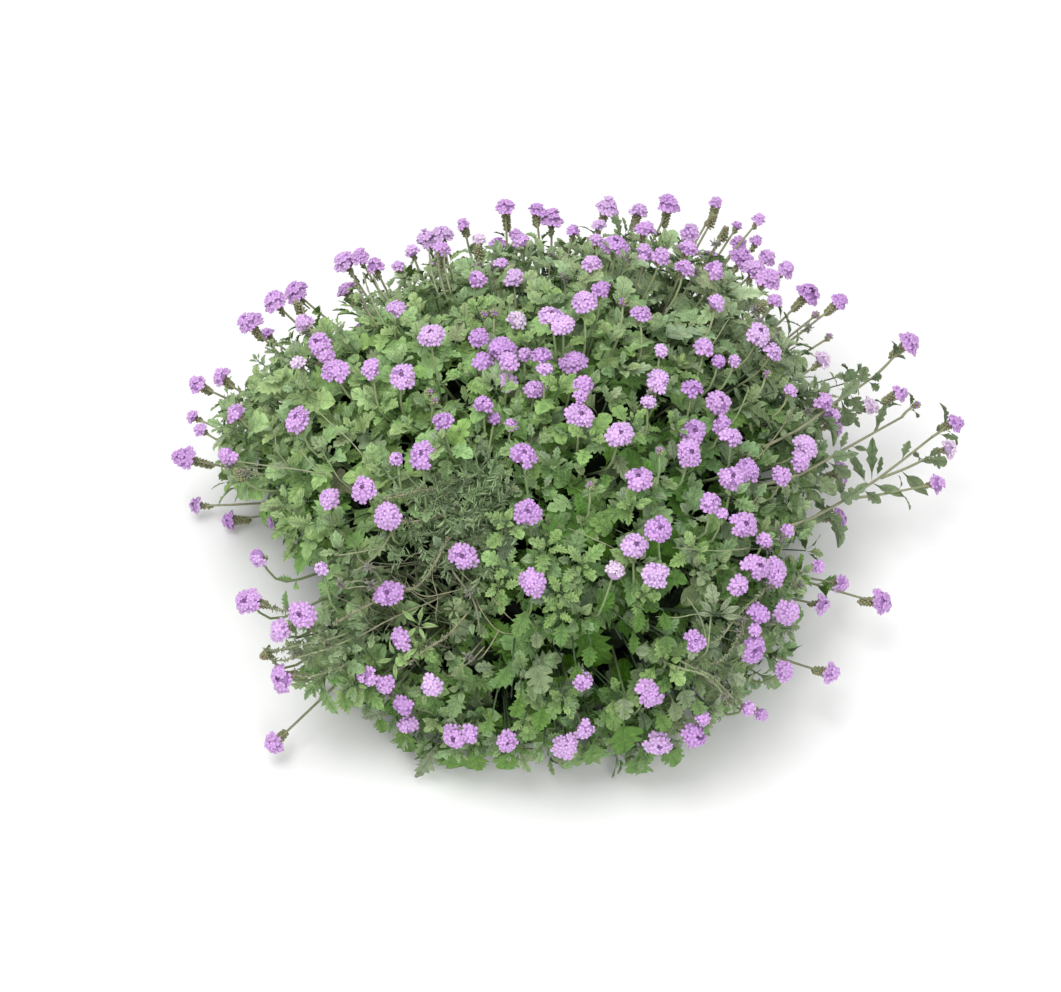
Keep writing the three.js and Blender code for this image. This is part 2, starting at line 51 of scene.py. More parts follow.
# ---------------------------------------------------------------- the plant's own measures, in millimetres
MOUND_CENTRE = np.array([0.0, 0.0, 90.0])
MOUND_RADII = np.array([352.0, 345.0, 240.0])
SWELLS = [(-2.3, 0.1, 0.2), (-1.95, -0.06, 0.25), (3, 0.09, 0.4), (0.72, 0.15, 0.55), (-0.85, 0.11, 0.33)]
HOLLOW_AT, HOLLOW_SHARE, HOLLOW_WIDTH, HOLLOW_HEIGHT = -2.8, 0.6, 0.33, 200.0
BLOOM_LIFT = 1.07
GROUND_CLEARANCE = 1.0
APEX = np.array([0.0, 0.0, 18.0])
MOUND_LIMIT = 700.0
BRANCH_COUNT = 58
TUFT_INNER = 0.52
ROOT_REACH = 0.075
LONG_STALK = 205.0
ROSETTE_COUNT = 86
LEAF_LENGTH = 50.0
LEAF_THICKNESS = 2.4
SHOOT_RADIUS = 1.7
HEAD_DIAMETER = {"full": 35, "half": 29, "small": 22, "bud": 12, "spent": 17}
HEAD_TOP = {"full": 0.3, "half": 0.5, "small": 0.55, "bud": 0.9, "spent": 1.5}
SIGHT_ELEVATION = math.radians(53)
TO_SIGHT = np.array([0.0, -math.cos(SIGHT_ELEVATION), math.sin(SIGHT_ELEVATION)])
SIGHT_DISTANCE = 2600.0
SIGHT_STEP = 1.2
SIGHT_SPAN = 600.0
SIGHT_MIDDLE = (530.5, 496.0)
SIGHT_TARGET = np.array([7.0, 0.0, 90.0])
BACK_HEAD_SPACING = 74.0
IMAGE_WIDTH = 1061
SENSOR_WIDTH = 36

# Shoots that stand out beyond the mound: the joints of each, root first.
SPRAYS = {
    "upper": [(792, 480), (838, 453), (875, 432), (902, 417)],
    "lower": [(800, 525), (847, 499), (881, 478), (917, 448), (932, 437)],
    "top": [(798, 432), (830, 405), (853, 392), (876, 375)],
}
# The heads that grow from a joint of such a shoot.
BORNE = {
    (917, 405): ("upper", 3), (899, 393): ("upper", 2), (955, 422): ("lower", 4), (949, 449): ("lower", 2),
    (937, 484): ("lower", 1), (909, 343): ("top", 3), (870, 407): ("top", 1),
}

# Where the heads stand: x and y on the sight frame, by kind.
HEADS = {
    "full": [
        (426, 239), (443, 236), (345, 262), (361, 258), (275, 301), (296, 291), (249, 322), (319, 344),
        (335, 370), (431, 335), (402, 376), (297, 419), (183, 458), (422, 455), (364, 488), (387, 515),
        (463, 556), (388, 593), (247, 601), (301, 615), (281, 678), (455, 737), (565, 747), (658, 744),
        (695, 736), (650, 694), (753, 650), (788, 612), (882, 602), (757, 566), (776, 571), (656, 575),
        (635, 545), (659, 529), (744, 524), (732, 478), (748, 470), (806, 446), (638, 478), (620, 434),
        (690, 453), (694, 432), (659, 380), (759, 333), (668, 205), (607, 207), (615, 245), (584, 301),
        (552, 316), (563, 325), (581, 415), (524, 454), (528, 512), (532, 582), (552, 219), (743, 259),
        (754, 271), (767, 281), (808, 294), (909, 343), (719, 402), (574, 361), (502, 348),
    ],
    "half": [
        (441, 249), (375, 266), (304, 322), (327, 356), (395, 308), (479, 337), (476, 279), (371, 368),
        (227, 455), (236, 413), (442, 421), (483, 404), (279, 631), (366, 676), (384, 684), (431, 686),
        (403, 706), (408, 725), (470, 735), (507, 742), (585, 729), (583, 681), (695, 641), (785, 671),
        (831, 673), (760, 613), (822, 604), (841, 584), (739, 586), (615, 572), (711, 502), (782, 475),
        (800, 461), (722, 424), (731, 437), (693, 388), (705, 346), (773, 351), (716, 303), (715, 270),
        (684, 268), (645, 252), (661, 257), (690, 232), (688, 248), (639, 211), (645, 229), (592, 263),
        (602, 289), (641, 313), (516, 320), (543, 355), (483, 360), (508, 361), (507, 381), (535, 389),
        (583, 384), (537, 211), (505, 207), (522, 242), (514, 277), (220, 377), (197, 384), (197, 505),
        (230, 520), (257, 557), (274, 744), (400, 640), (767, 257), (786, 269), (839, 302), (822, 360),
        (823, 403), (832, 417), (870, 407), (899, 393), (955, 422), (949, 449), (937, 484), (329, 498),
        (739, 244),
    ],
    "small": [
        (463, 225), (478, 240), (412, 252), (399, 266), (298, 363), (193, 417), (200, 430), (397, 459),
        (321, 568), (755, 630), (818, 567), (722, 513), (788, 531), (765, 540), (648, 401), (661, 351),
        (719, 361), (735, 361), (599, 225), (597, 240), (545, 369), (525, 354), (580, 397), (511, 425),
        (494, 418), (573, 231), (515, 235), (502, 264), (737, 226), (757, 222), (756, 242), (775, 301),
        (790, 390), (748, 708), (761, 714), (703, 718), (716, 204),
    ],
    "bud": [
        (623, 302), (484, 314), (494, 313), (429, 392), (434, 401), (590, 486), (660, 451), (814, 316),
        (829, 337), (767, 374), (917, 405),
    ],
    "spent": [(711, 222), (724, 234), (762, 307), (240, 474), (266, 655), (299, 308), (479, 252)],
}
LONG_SPIKES = [
    (247, 601), (882, 602), (831, 673), (274, 744), (505, 207), (183, 458), (220, 377), (955, 422),
    (537, 211), (909, 343), (899, 393), (281, 678), (279, 631), (441, 249), (463, 225), (478, 240),
    (839, 302), (808, 294), (668, 205), (607, 207), (716, 204), (639, 211), (197, 384), (249, 322),
    (230, 520), (463, 556), (703, 718),
]
VERY_LONG_SPIKES = [(247, 601), (183, 458), (716, 204), (505, 207)]
FADED = [(298, 363), (822, 360), (870, 407), (949, 449), (478, 240), (615, 572), (516, 320)]

# ---------------------------------------------------------------- the look's own measures
SHOOT_COUNT = 470
SHOOT_PAIRS = 4
PAIR_STEP = 15.0
LEAF_BLADE = 39.0
FEATHER_COUNT = 20
STRAGGLE_COUNT = 90
FROND_COUNT = 110
INNER_COUNT = 17
PETAL_REACH = 5.95
STEM_SIDES = 5
STEM_POINTS = 5
TUFT_HAIRS = 34
ROUGH_HAIRS = 90
LOWEST_POINT = 0.6
LOWEST_SHOOT = 10.0
MAIN_STEM_FOOT = 38.0
LEAF_CHORD = 1.3

# A shoot's leaf pairs, youngest first: how far the leaves reach, how steeply they rise and how old they are.
PAIR_SPREAD = (0.42, 0.66, 0.88, 0.98, 0.94)
PAIR_RISE = (1.0, 0.72, 0.36, 0.12, -0.06)
PAIR_AGE = (0.0, 0.22, 0.5, 0.78, 1.0)

# Each kind of growth draws from keys of its own, counted up from these.
FLORET_KEYS, FLOWER_KEYS, STALK_KEYS, INNER_KEYS = 5000000, 6000000, 7000000, 3000000
ROSETTE_KEYS, SHOOT_KEYS, FEATHER_KEYS, EDGE_KEYS, NARROW_KEYS = 500000, 1000000, 1800000, 1900000, 1990000
STRAGGLE_KEYS, SPRAY_KEYS, OPEN_KEYS, DRIED_KEYS, ROUGH_KEYS = 2200000, 2500000, 2600000, 2650000, 2700000
FROND_KEYS, SINGLE_KEYS, BRIGHT_KEYS, SPRAY_LEAF_KEYS = 2800000, 2950000, 2960000, 2970000

# Ribs on a leaf's own map: how sharp the middle rib is, and the slant, pace and fading of the side ribs.
MIDDLE_RIB_EDGE, SIDE_RIB_SLANT, SIDE_RIB_PACE, SIDE_RIB_FADE = 22.0, 0.34, 44.0, 1.7

# Deep gaps between the shoots: x, y and radius on the sight frame.
GAPS = np.array([
    (443, 329, 6), (456, 369, 9), (458, 344, 6), (508, 287, 6), (473, 309, 6), (389, 451, 6), (349, 491, 7),
    (361, 503, 7), (341, 466, 5), (411, 406, 6), (451, 389, 6), (518, 304, 5), (396, 491, 6), (602, 408, 9),
    (611, 421, 9), (602, 462, 9), (570, 494, 6), (623, 521, 8), (608, 557, 7), (539, 600, 7), (523, 545, 6),
    (484, 592, 8), (437, 635, 8), (623, 645, 9), (647, 608, 8), (568, 660, 8), (600, 682, 8), (510, 694, 7),
    (400, 545, 8), (412, 510, 6), (404, 484, 6), (602, 631, 7), (686, 596, 8), (670, 686, 8),
    (498, 610, 10), (501, 622, 9), (461, 575, 7), (421, 594, 7), (435, 575, 6), (427, 625, 6),
    (429, 657, 7), (381, 668, 6), (494, 657, 6), (378, 631, 6), (354, 630, 5), (384, 565, 8), (512, 541, 5),
    (490, 691, 5), (743, 555, 8), (754, 595, 7), (721, 627, 7), (703, 684, 8), (796, 548, 6), (683, 701, 6),
    (705, 357, 7), (716, 404, 9), (741, 432, 7), (777, 470, 7), (710, 483, 6), (735, 519, 6), (563, 362, 5),
    (640, 395, 6), (668, 420, 6),
], dtype=float)

# Dry and pale stems that lie open on the mound: tone, radius in millimetres, then places on the sight frame.
OPEN_STEMS = [
    ("tan", 0.9, (385, 535), (376, 552), (360, 566), (348, 573)),
    ("tan", 1.2, (443, 546), (434, 565), (421, 583), (409, 592), (401, 590)),
    ("grey", 1.3, (446, 566), (455, 580), (466, 593), (474, 606), (477, 622), (477, 628)),
    ("tan", 0.6, (478, 611), (487, 624), (495, 634), (507, 638)),
    ("tan", 0.9, (354, 640), (378, 626), (405, 613), (422, 607)),
    ("tan", 1.3, (334, 624), (350, 614), (366, 606)),
    ("tan", 1.1, (396, 672), (410, 663), (428, 648), (444, 640), (455, 628)),
    ("tan", 0.9, (448, 681), (458, 673), (470, 665)),
    ("tan", 0.8, (481, 661), (489, 650)),
    ("pale", 0.8, (331, 556), (342, 555), (352, 553)),
    ("pale", 0.7, (343, 584), (357, 582), (368, 587)),
    ("pale", 0.7, (338, 591), (354, 588), (367, 589)),
    ("tan", 0.7, (407, 592), (421, 600), (440, 596), (457, 592)),
    ("tan", 0.6, (352, 560), (372, 575), (380, 590)),
    ("tan", 0.6, (430, 560), (428, 580), (436, 600), (432, 618)),
    ("green", 1.4, (688, 672), (704, 674), (719, 686), (731, 706)),
    ("green", 1.3, (696, 670), (712, 676), (726, 690), (738, 704)),
    ("green", 0.7, (683, 621), (700, 617), (717, 617)),
    ("green", 1.2, (718, 617), (716, 634), (714, 656)),
    ("green", 1.0, (706, 618), (711, 634), (714, 654)),
    ("green", 0.7, (748, 626), (738, 644), (728, 660)),
    ("green", 0.8, (770, 590), (752, 604), (735, 622), (724, 640)),
    ("green", 0.7, (700, 550), (728, 552), (757, 549)),
    ("pale", 0.6, (585, 534), (598, 540), (612, 546)),
    ("tan", 0.6, (455, 570), (470, 585), (492, 600), (505, 618)),
    ("tan", 0.9, (385, 498), (400, 495), (416, 490)),
    ("tan", 1.2, (397, 520), (412, 522), (432, 517)),
    ("green", 1.2, (264, 651), (280, 650), (297, 646), (322, 642)),
    ("green", 1.1, (270, 661), (287, 660), (306, 656), (326, 650)),
    ("green", 1.0, (296, 676), (310, 677), (330, 672)),
    ("green", 1.2, (258, 603), (270, 607), (284, 611)),
    ("pale", 1.2, (429, 248), (430, 262), (432, 274)),
    ("tan", 1.4, (437, 248), (438, 262), (440, 276)),
    ("pale", 1.1, (446, 246), (444, 260), (446, 274)),
    ("tan", 1.1, (352, 272), (359, 290), (368, 312)),
    ("pale", 1.1, (362, 270), (368, 290), (376, 310)),
    ("pale", 1.0, (372, 272), (378, 288), (390, 302)),
    ("tan", 1.0, (300, 300), (304, 314), (312, 334)),
    ("pale", 0.8, (282, 432), (293, 448), (305, 463)),
    ("green", 0.8, (303, 399), (322, 418), (344, 437), (358, 454)),
    ("green", 0.7, (373, 437), (392, 460), (411, 483)),
    ("pale", 0.9, (228, 460), (255, 463), (295, 468)),
    ("green", 0.7, (315, 448), (324, 463), (332, 477)),
    ("pale", 0.7, (266, 425), (268, 448)),
    ("green", 0.9, (742, 416), (750, 400), (757, 382)),
    ("tan", 0.9, (752, 518), (762, 500), (773, 484)),
    ("green", 0.7, (722, 334), (730, 320), (739, 307)),
    ("tan", 0.8, (770, 452), (790, 425), (806, 400)),
]
# The open stems, by number, that are rough with dried flowers.
ROUGH_STEMS = [1, 5, 6, 15, 16, 20, 21, 25, 26, 27, 28, 29, 30, 32, 34]

# The kinds of leaf, by number.
KIND_LOBED, KIND_WEDGE, KIND_CUT, KIND_TOOTHED, KIND_FEATHER, KIND_LANCE = range(6)

# Single leaves, at the foot and in a hairy fan at the right: stalk and tip on the sight frame, width, kind
# and tone.
SINGLE_LEAVES = [
    (438, 744, 416, 780, 0.55, KIND_CUT, "grey"), (450, 742, 463, 771, 0.9, KIND_WEDGE, "deep"),
    (392, 712, 361, 719, 0.6, KIND_CUT, "grey"), (398, 724, 411, 756, 0.7, KIND_CUT, "deep"),
    (340, 692, 348, 712, 0.8, KIND_CUT, "middle"), (376, 714, 384, 734, 0.7, KIND_CUT, "deep"),
    (424, 736, 432, 760, 0.8, KIND_WEDGE, "middle"), (470, 746, 482, 770, 0.9, KIND_CUT, "deep"),
    (408, 734, 396, 744, 0.7, KIND_CUT, "pale"), (436, 742, 444, 764, 0.7, KIND_CUT, "deep"),
    (718, 617, 711, 584, 0.7, KIND_WEDGE, "hairy"), (719, 616, 732, 596, 1.1, KIND_LANCE, "hairy"),
    (719, 616, 740, 606, 1.2, KIND_LANCE, "hairy"), (719, 617, 743, 617, 1.1, KIND_LANCE, "hairy"),
    (717, 616, 699, 600, 1.3, KIND_LANCE, "hairy"), (717, 617, 697, 613, 1.1, KIND_LANCE, "hairy"),
    (733, 640, 748, 656, 0.8, KIND_WEDGE, "hairy"), (700, 640, 690, 660, 0.8, KIND_WEDGE, "hairy"),
    (728, 672, 746, 684, 0.8, KIND_WEDGE, "hairy"),
    (531, 604, 514, 638, 0.9, KIND_TOOTHED, "middle"), (564, 617, 560, 648, 1.0, KIND_TOOTHED, "middle"),
    (645, 608, 636, 633, 0.9, KIND_CUT, "deep"), (536, 625, 537, 648, 0.9, KIND_WEDGE, "deep"),
    (535, 658, 543, 694, 1.2, KIND_LOBED, "middle"), (514, 660, 496, 688, 0.9, KIND_TOOTHED, "middle"),
    (635, 627, 633, 655, 0.8, KIND_TOOTHED, "deep"), (664, 608, 668, 631, 1.1, KIND_TOOTHED, "deep"),
    (667, 632, 668, 654, 1.2, KIND_LOBED, "middle"), (522, 692, 514, 718, 0.9, KIND_WEDGE, "deep"),
    (545, 702, 538, 732, 0.9, KIND_TOOTHED, "deep"), (561, 694, 576, 717, 0.8, KIND_TOOTHED, "bright"),
    (609, 704, 604, 724, 0.8, KIND_WEDGE, "middle"), (625, 694, 625, 720, 1.1, KIND_LOBED, "bright"),
    (654, 709, 668, 729, 1.0, KIND_WEDGE, "middle"), (625, 720, 625, 754, 1.2, KIND_LOBED, "deep"),
    (596, 738, 591, 766, 0.9, KIND_TOOTHED, "middle"), (513, 746, 504, 769, 1.0, KIND_WEDGE, "deep"),
    (643, 748, 636, 771, 0.9, KIND_WEDGE, "middle"), (669, 748, 677, 765, 1.1, KIND_LOBED, "middle"),
    (493, 714, 484, 732, 1.0, KIND_WEDGE, "middle"), (684, 686, 688, 709, 1.2, KIND_LOBED, "deep"),
    (696, 694, 701, 714, 1.1, KIND_WEDGE, "middle"), (673, 698, 678, 722, 1.1, KIND_TOOTHED, "middle"),
    (592, 640, 588, 668, 1.0, KIND_TOOTHED, "deep"), (575, 660, 580, 684, 1.0, KIND_WEDGE, "deep"),
]

# Shoots set one by one: x and y on the sight frame, size, and how dull they are.
EDGE_SHOOTS = [
    (432, 746, 0.9, 0.3), (452, 746, 0.9, 0.1), (472, 750, 0.9, 0), (505, 755, 0.8, 0), (594, 753, 0.8, 0),
    (652, 757, 0.9, 0), (345, 693, 0.8, 0), (326, 668, 0.8, 0.5), (300, 660, 0.55, 0.9),
    (286, 643, 0.5, 0.9), (318, 640, 0.7, 0.7), (340, 655, 0.8, 0.5), (800, 372, 0.8, 0.8),
    (818, 388, 0.8, 0.8), (835, 392, 0.7, 0.9), (842, 408, 0.7, 0.9), (828, 418, 0.8, 0.8),
    (812, 430, 0.8, 0.7), (796, 420, 0.9, 0.6), (858, 378, 0.6, 0.9), (870, 366, 0.5, 1),
    (812, 470, 0.7, 0.7), (824, 486, 0.7, 0.7), (806, 505, 0.7, 0.6), (812, 528, 0.7, 0.5),
    (790, 345, 0.8, 0.9), (800, 590, 0.8, 0.6), (812, 575, 0.6, 0.8), (795, 632, 0.6, 0.8),
    (785, 612, 0.7, 0.7), (740, 700, 0.6, 0.5), (718, 716, 0.6, 0.4), (334, 324, 0.35, 0.6),
    (302, 322, 0.35, 0.6), (366, 306, 0.5, 0.8), (410, 278, 0.5, 0.8), (386, 292, 0.5, 0.8),
    (374, 290, 0.4, 0.9), (356, 294, 0.35, 1), (428, 268, 0.4, 0.9), (448, 262, 0.35, 1),
    (400, 272, 0.4, 0.9), (222, 392, 0.35, 0.9), (218, 412, 0.35, 0.9), (212, 430, 0.35, 1),
    (216, 454, 0.4, 0.8), (228, 480, 0.5, 0.7), (250, 356, 0.45, 0.6), (262, 344, 0.4, 0.7),
    (560, 244, 0.35, 0.9), (640, 232, 0.4, 0.9), (668, 228, 0.5, 0.8),
]

# Leaves on the shoots beyond the mound: stalk and tip on the sight frame, width and kind.
SPRAY_LEAVES = [
    (872, 481, 873, 437, 0.55, KIND_CUT), (875, 480, 881, 456, 0.6, KIND_CUT),
    (866, 483, 847, 450, 0.5, KIND_CUT), (868, 484, 857, 458, 0.5, KIND_CUT),
    (874, 484, 905, 500, 0.8, KIND_TOOTHED), (862, 490, 881, 503, 1.1, KIND_CUT),
    (826, 461, 850, 477, 0.8, KIND_WEDGE), (808, 470, 835, 494, 0.9, KIND_WEDGE),
    (838, 452, 846, 431, 0.8, KIND_CUT), (850, 446, 868, 451, 0.7, KIND_TOOTHED),
    (872, 434, 886, 404, 0.65, KIND_CUT), (902, 464, 911, 440, 0.85, KIND_CUT),
    (902, 474, 928, 496, 0.8, KIND_TOOTHED), (923, 463, 947, 462, 1.0, KIND_WEDGE),
    (928, 459, 938, 447, 0.8, KIND_CUT), (934, 438, 938, 424, 1.0, KIND_CUT),
    (934, 439, 958, 439, 0.7, KIND_CUT), (856, 390, 847, 370, 1.2, KIND_WEDGE),
    (862, 386, 866, 366, 1.2, KIND_LOBED), (868, 381, 882, 376, 1.0, KIND_WEDGE),
    (850, 394, 863, 412, 1.1, KIND_LOBED), (842, 399, 850, 426, 1.1, KIND_WEDGE),
    (834, 403, 838, 424, 1.0, KIND_WEDGE), (826, 513, 843, 521, 1.1, KIND_CUT),
    (845, 500, 838, 478, 0.8, KIND_WEDGE), (866, 380, 880, 390, 1.0, KIND_WEDGE),
]

# Shoots with narrow leaves: x and y on the sight frame, leaf length, number of leaves, how pale.
NARROW_SHOOTS = [
    (415, 628, 17, 5, 0.1), (418, 650, 17, 5, 0.1), (350, 688, 18, 6, 0.0),
    (344, 703, 16, 5, 0.0), (392, 662, 18, 4, 0.1), (452, 612, 11, 6, 0.8),
]

# Bright young shoots, and dried flower heads left among the leaves: x and y on the sight frame.
BRIGHT_SHOOTS = [
    (506, 406), (626, 707), (458, 370), (499, 589), (636, 418), (505, 523), (591, 436), (703, 553),
    (672, 666), (677, 422), (507, 568), (550, 409), (583, 566), (524, 727), (636, 503), (662, 237),
    (560, 383), (684, 360), (647, 598), (411, 654), (521, 336), (559, 614), (595, 319), (475, 301),
    (563, 595), (565, 706), (549, 547), (550, 292),
]
TUFTS = [
    (565, 274), (479, 262), (744, 621), (302, 330), (771, 549), (759, 306), (774, 585), (387, 697),
    (292, 656), (698, 268), (517, 391), (469, 593), (492, 264), (630, 254), (785, 539), (774, 623),
    (338, 585), (812, 325), (812, 410), (743, 634), (719, 240), (726, 698), (368, 586), (652, 391),
    (802, 584), (552, 252), (762, 319), (776, 338), (583, 732), (226, 465), (241, 473), (314, 335),
    (752, 293), (467, 659), (366, 568),
]


# Where each kind of foliage grows on the sight frame: strength, middle and half widths of each patch.
ZONES = {
    "fresh": [(1.0, 340, 420, 150, 110), (0.7, 480, 310, 170, 70)],
    "deep": [(1.0, 640, 640, 200, 130), (0.5, 640, 430, 130, 90), (0.6, 745, 450, 95, 110)],
    "dry": [(1.2, 400, 605, 75, 60)],
    "feather": [(1.3, 462, 500, 50, 42), (0.7, 410, 565, 80, 45)],
    # The dull patches: greyer foliage, where older leaves are lifted as painted light and the inner leaves
    # and lump get less painted shade.
    "dull": [
        (0.85, 780, 300, 120, 100), (0.35, 290, 640, 60, 45), (0.65, 560, 250, 200, 62),
        (0.35, 265, 400, 70, 70), (0.6, 728, 655, 42, 55),
    ],
}
# Single patches: middle and half widths.
LARGE_LEAVES = (590, 670, 120, 75)
FEATHER_PATCH = (462, 510, 64, 62)
FROND_PATCH = (452, 512, 80, 66)
STRAGGLE_PATCH = (398, 600, 76, 58)


def draw(key):
    """A draw from 0 to 1 that depends on its whole-number key alone."""
    mask = 0xFFFFFFFF
    h = ((key ^ 0x9E3779B9) & mask) * 0x85EBCA6B & mask
    h = ((h ^ (h >> 13)) * 0xC2B2AE35) & mask
    return (h ^ (h >> 16)) / 4294967296.0


def scatter(key):
    """Three draws from -0.5 to 0.5."""
    return np.array([draw(key) - 0.5, draw(key + 1) - 0.5, draw(key + 2) - 0.5])


def unit(v):
    return v / np.maximum(np.linalg.norm(v, axis=-1, keepdims=True), 1e-9)


def around(u, v, angle):
    return u * math.cos(angle) + v * math.sin(angle)


# ---------------------------------------------------------------- the mound
def reach(p):
    """How far the mound swells or draws in, round its middle, as a factor."""
    azimuth = np.arctan2(p[..., 1], p[..., 0])

    def bump(at, width):
        return np.exp(-(((np.cos(azimuth - at) - 1) * 2) ** 2) / width**4)

    low = np.clip(1 - p[..., 2] / HOLLOW_HEIGHT, 0, 1)
    swell = 1 + sum(share * bump(at, width) for at, share, width in SWELLS)
    return swell - HOLLOW_SHARE * low * bump(HOLLOW_AT, HOLLOW_WIDTH)


def depth(p):
    """Below 1 inside the mound, above 1 outside it."""
    return np.linalg.norm((p - MOUND_CENTRE) / MOUND_RADII, axis=-1) / reach(p)


def normal_at(p):
    return unit((p - MOUND_CENTRE) / MOUND_RADII / MOUND_RADII)


def canopy(direction):
    """How far the mound's surface lies from the apex in each direction."""
    near = np.zeros(direction.shape[:-1])
    far = near + MOUND_LIMIT
    for _ in range(24):
        middle = (near + far) / 2
        inside = depth(APEX + direction * middle[..., None]) < 1
        near = np.where(inside, middle, near)
        far = np.where(inside, far, middle)
    return near


def spiral(count, lowest, turn):
    """Evenly spread directions over the upper half of a ball."""
    i = np.arange(count)
    z = lowest + (1 - lowest) * (i + 0.5) / count
    azimuth = turn + i * math.pi * (3 - math.sqrt(5))
    flat = np.sqrt(1 - z * z)
    return np.stack([flat * np.cos(azimuth), flat * np.sin(azimuth), z], axis=-1)


EYE = SIGHT_TARGET + TO_SIGHT * SIGHT_DISTANCE


def on_sight_line(x, y, size):
    """Where the sight line through a point of the sight frame meets the bloom, clear of the ground."""
    across = (x - SIGHT_MIDDLE[0]) * SIGHT_STEP
    upward = (SIGHT_MIDDLE[1] - y) * SIGHT_STEP
    s, c = math.sin(SIGHT_ELEVATION), math.cos(SIGHT_ELEVATION)
    line = unit(SIGHT_TARGET + np.array([across, upward * s, upward * c]) - EYE)
    t = np.arange(SIGHT_DISTANCE - SIGHT_SPAN, SIGHT_DISTANCE + SIGHT_SPAN, 3.0)
    p = EYE + line * t[:, None]
    low = np.nonzero(p[:, 2] < size / 2 + GROUND_CLEARANCE)[0]
    p = p[: low[0]] if len(low) else p
    d = depth(p) / BLOOM_LIFT
    met = np.nonzero(d <= 1)[0]
    return p[met[0]] if len(met) else p[np.argmin(d)]


def sight_place(p):
    """Where points show on the sight frame."""
    rel = p - EYE
    s, c = math.sin(SIGHT_ELEVATION), math.cos(SIGHT_ELEVATION)
    away = -(rel @ TO_SIGHT)
    scale = SIGHT_DISTANCE / away / SIGHT_STEP
    x = SIGHT_MIDDLE[0] + rel[..., 0] * scale
    y = SIGHT_MIDDLE[1] - (rel[..., 1] * s + rel[..., 2] * c) * scale
    return x, y


def tangent_at(direction):
    """The level direction square to each one."""
    return unit(np.cross(UP, direction))


def sideways(axis, tangent):
    """Two directions square to each axis and to each other, the first of them near the tangent."""
    v = unit(np.cross(axis, tangent))
    return unit(np.cross(v, axis)), v


def sides_of(axis):
    """Two directions square to each axis, also where the axis is plumb."""
    return sideways(axis, tangent_at(axis + OFF_PLUMB))


BRANCH_AXES = spiral(BRANCH_COUNT, 0.05, 0.3)


def nearest_branch(direction):
    return int(np.argmin(np.linalg.norm(BRANCH_AXES - direction, axis=-1)))


BRANCH_OUT = canopy(BRANCH_AXES)


def root_of(direction, branch, share):
    """Where a stalk towards a direction leaves its branch."""
    axis = BRANCH_AXES[branch]
    angle = math.acos(max(-1.0, min(1.0, float(direction @ axis))))
    kept = min(angle * share, ROOT_REACH)
    way = unit(axis + (direction - axis) * (kept / angle if angle > 0.001 else 0))
    return APEX + way * (BRANCH_OUT[branch] * (TUFT_INNER + 0.075))


# ---------------------------------------------------------------- finding the frame's own heads and rosettes
cad_points = []
cad_owner = []
for k in range(BRANCH_COUNT):
    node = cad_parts["branch_%02d" % (k + 1)]
    count = len(node.data.vertices)
    flat = np.empty(count * 3)
    node.data.vertices.foreach_get("co", flat)
    cad_points.append(flat.reshape(-1, 3) / MM)
    cad_owner += [k] * count
cad_points = np.concatenate(cad_points)
tree = KDTree(len(cad_points))
for i, p in enumerate(cad_points):
    tree.insert(p, i)
tree.balance()


def frame_point(p, within=0.12):
    """The branch whose solid has a corner at p, or None."""
    _, i, far = tree.find(p)
    return cad_owner[i] if far < within else None


def grow_sprays():
    """The leafy shoots beyond the mound, each at the place that its tube has in the frame."""
    grown = {}
    for name, line in SPRAYS.items():
        joints = np.array([on_sight_line(x, y, HEAD_DIAMETER["bud"]) for x, y in line])
        branch = nearest_branch(unit(joints[0] - APEX))
        root = root_of(unit(joints[0] - APEX), branch, 0.7)
        tangent = tangent_at(unit(joints[-1] - joints[-2]))
        for push in (0, 9, 18, 27, 36, 45):
            at = joints + TO_SIGHT * push
            corner = at[1] + sideways(unit(at[2] - at[1]), tangent)[0] * SHOOT_RADIUS
            if frame_point(corner) is not None:
                joints = at
                break
        grown[name] = dict(joints=joints, branch=branch, root=root)
    return grown


def place_heads():
    """Every flower head, with its place, its facing and the branch whose solid holds it."""
    heads = []
    for kind, places in HEADS.items():
        for place in places:
            size = HEAD_DIAMETER[kind]
            spike = (place in LONG_SPIKES) + (place in VERY_LONG_SPIKES)
            heads.append(dict(kind=kind, size=size, at=on_sight_line(*place, size), back=False,
                              faded=place in FADED, borne=BORNE.get(place), long_spike=spike))
    taken = [h["at"] for h in heads]
    found = []
    for direction in spiral(240, 0.04, 0.0):
        p = APEX + direction * (canopy(direction[None])[0] * BLOOM_LIFT)
        if normal_at(p) @ TO_SIGHT > 0.05 or p[2] < 40:
            continue
        if min(np.linalg.norm(p - q) for q in taken + found) > BACK_HEAD_SPACING:
            found.append(p)
    for i, p in enumerate(found):
        kind = "full" if i % 3 else "half"
        heads.append(dict(kind=kind, size=HEAD_DIAMETER[kind], at=p, back=True, faded=False, borne=None,
                          long_spike=int(i % 4 == 0)))
    for i, head in enumerate(heads):
        head["key"] = i
        head["away"] = unit(head["at"] - APEX)
        head["axis"] = unit(normal_at(head["at"]) + UP * 0.35 + scatter(i * 7 + 1) * LEVEL * 0.5)
        settle(head)
        if not head["back"]:
            head["axis"] = unit(head["axis"] + TO_SIGHT * 0.35)
    return heads


def settle(head):
    """Takes the place and size that the head's solid has in the frame."""
    way = head["axis"] if head["back"] else TO_SIGHT
    u, _ = sideways(head["axis"], tangent_at(head["away"]))
    for push in (0, 9, 18, 27, 36, 48):
        at = head["at"] + way * push
        for share in (1, 0.88, 0.76):
            radius = head["size"] * share / 2
            top = at + head["axis"] * HEAD_TOP[head["kind"]] * radius
            rim = at + u * radius - head["axis"] * 0.1 * radius
            for corner in (top, rim):
                owner = frame_point(corner)
                if owner is not None:
                    head.update(at=at, size=head["size"] * share, branch=owner)
                    return
    head["branch"] = nearest_branch(head["away"])


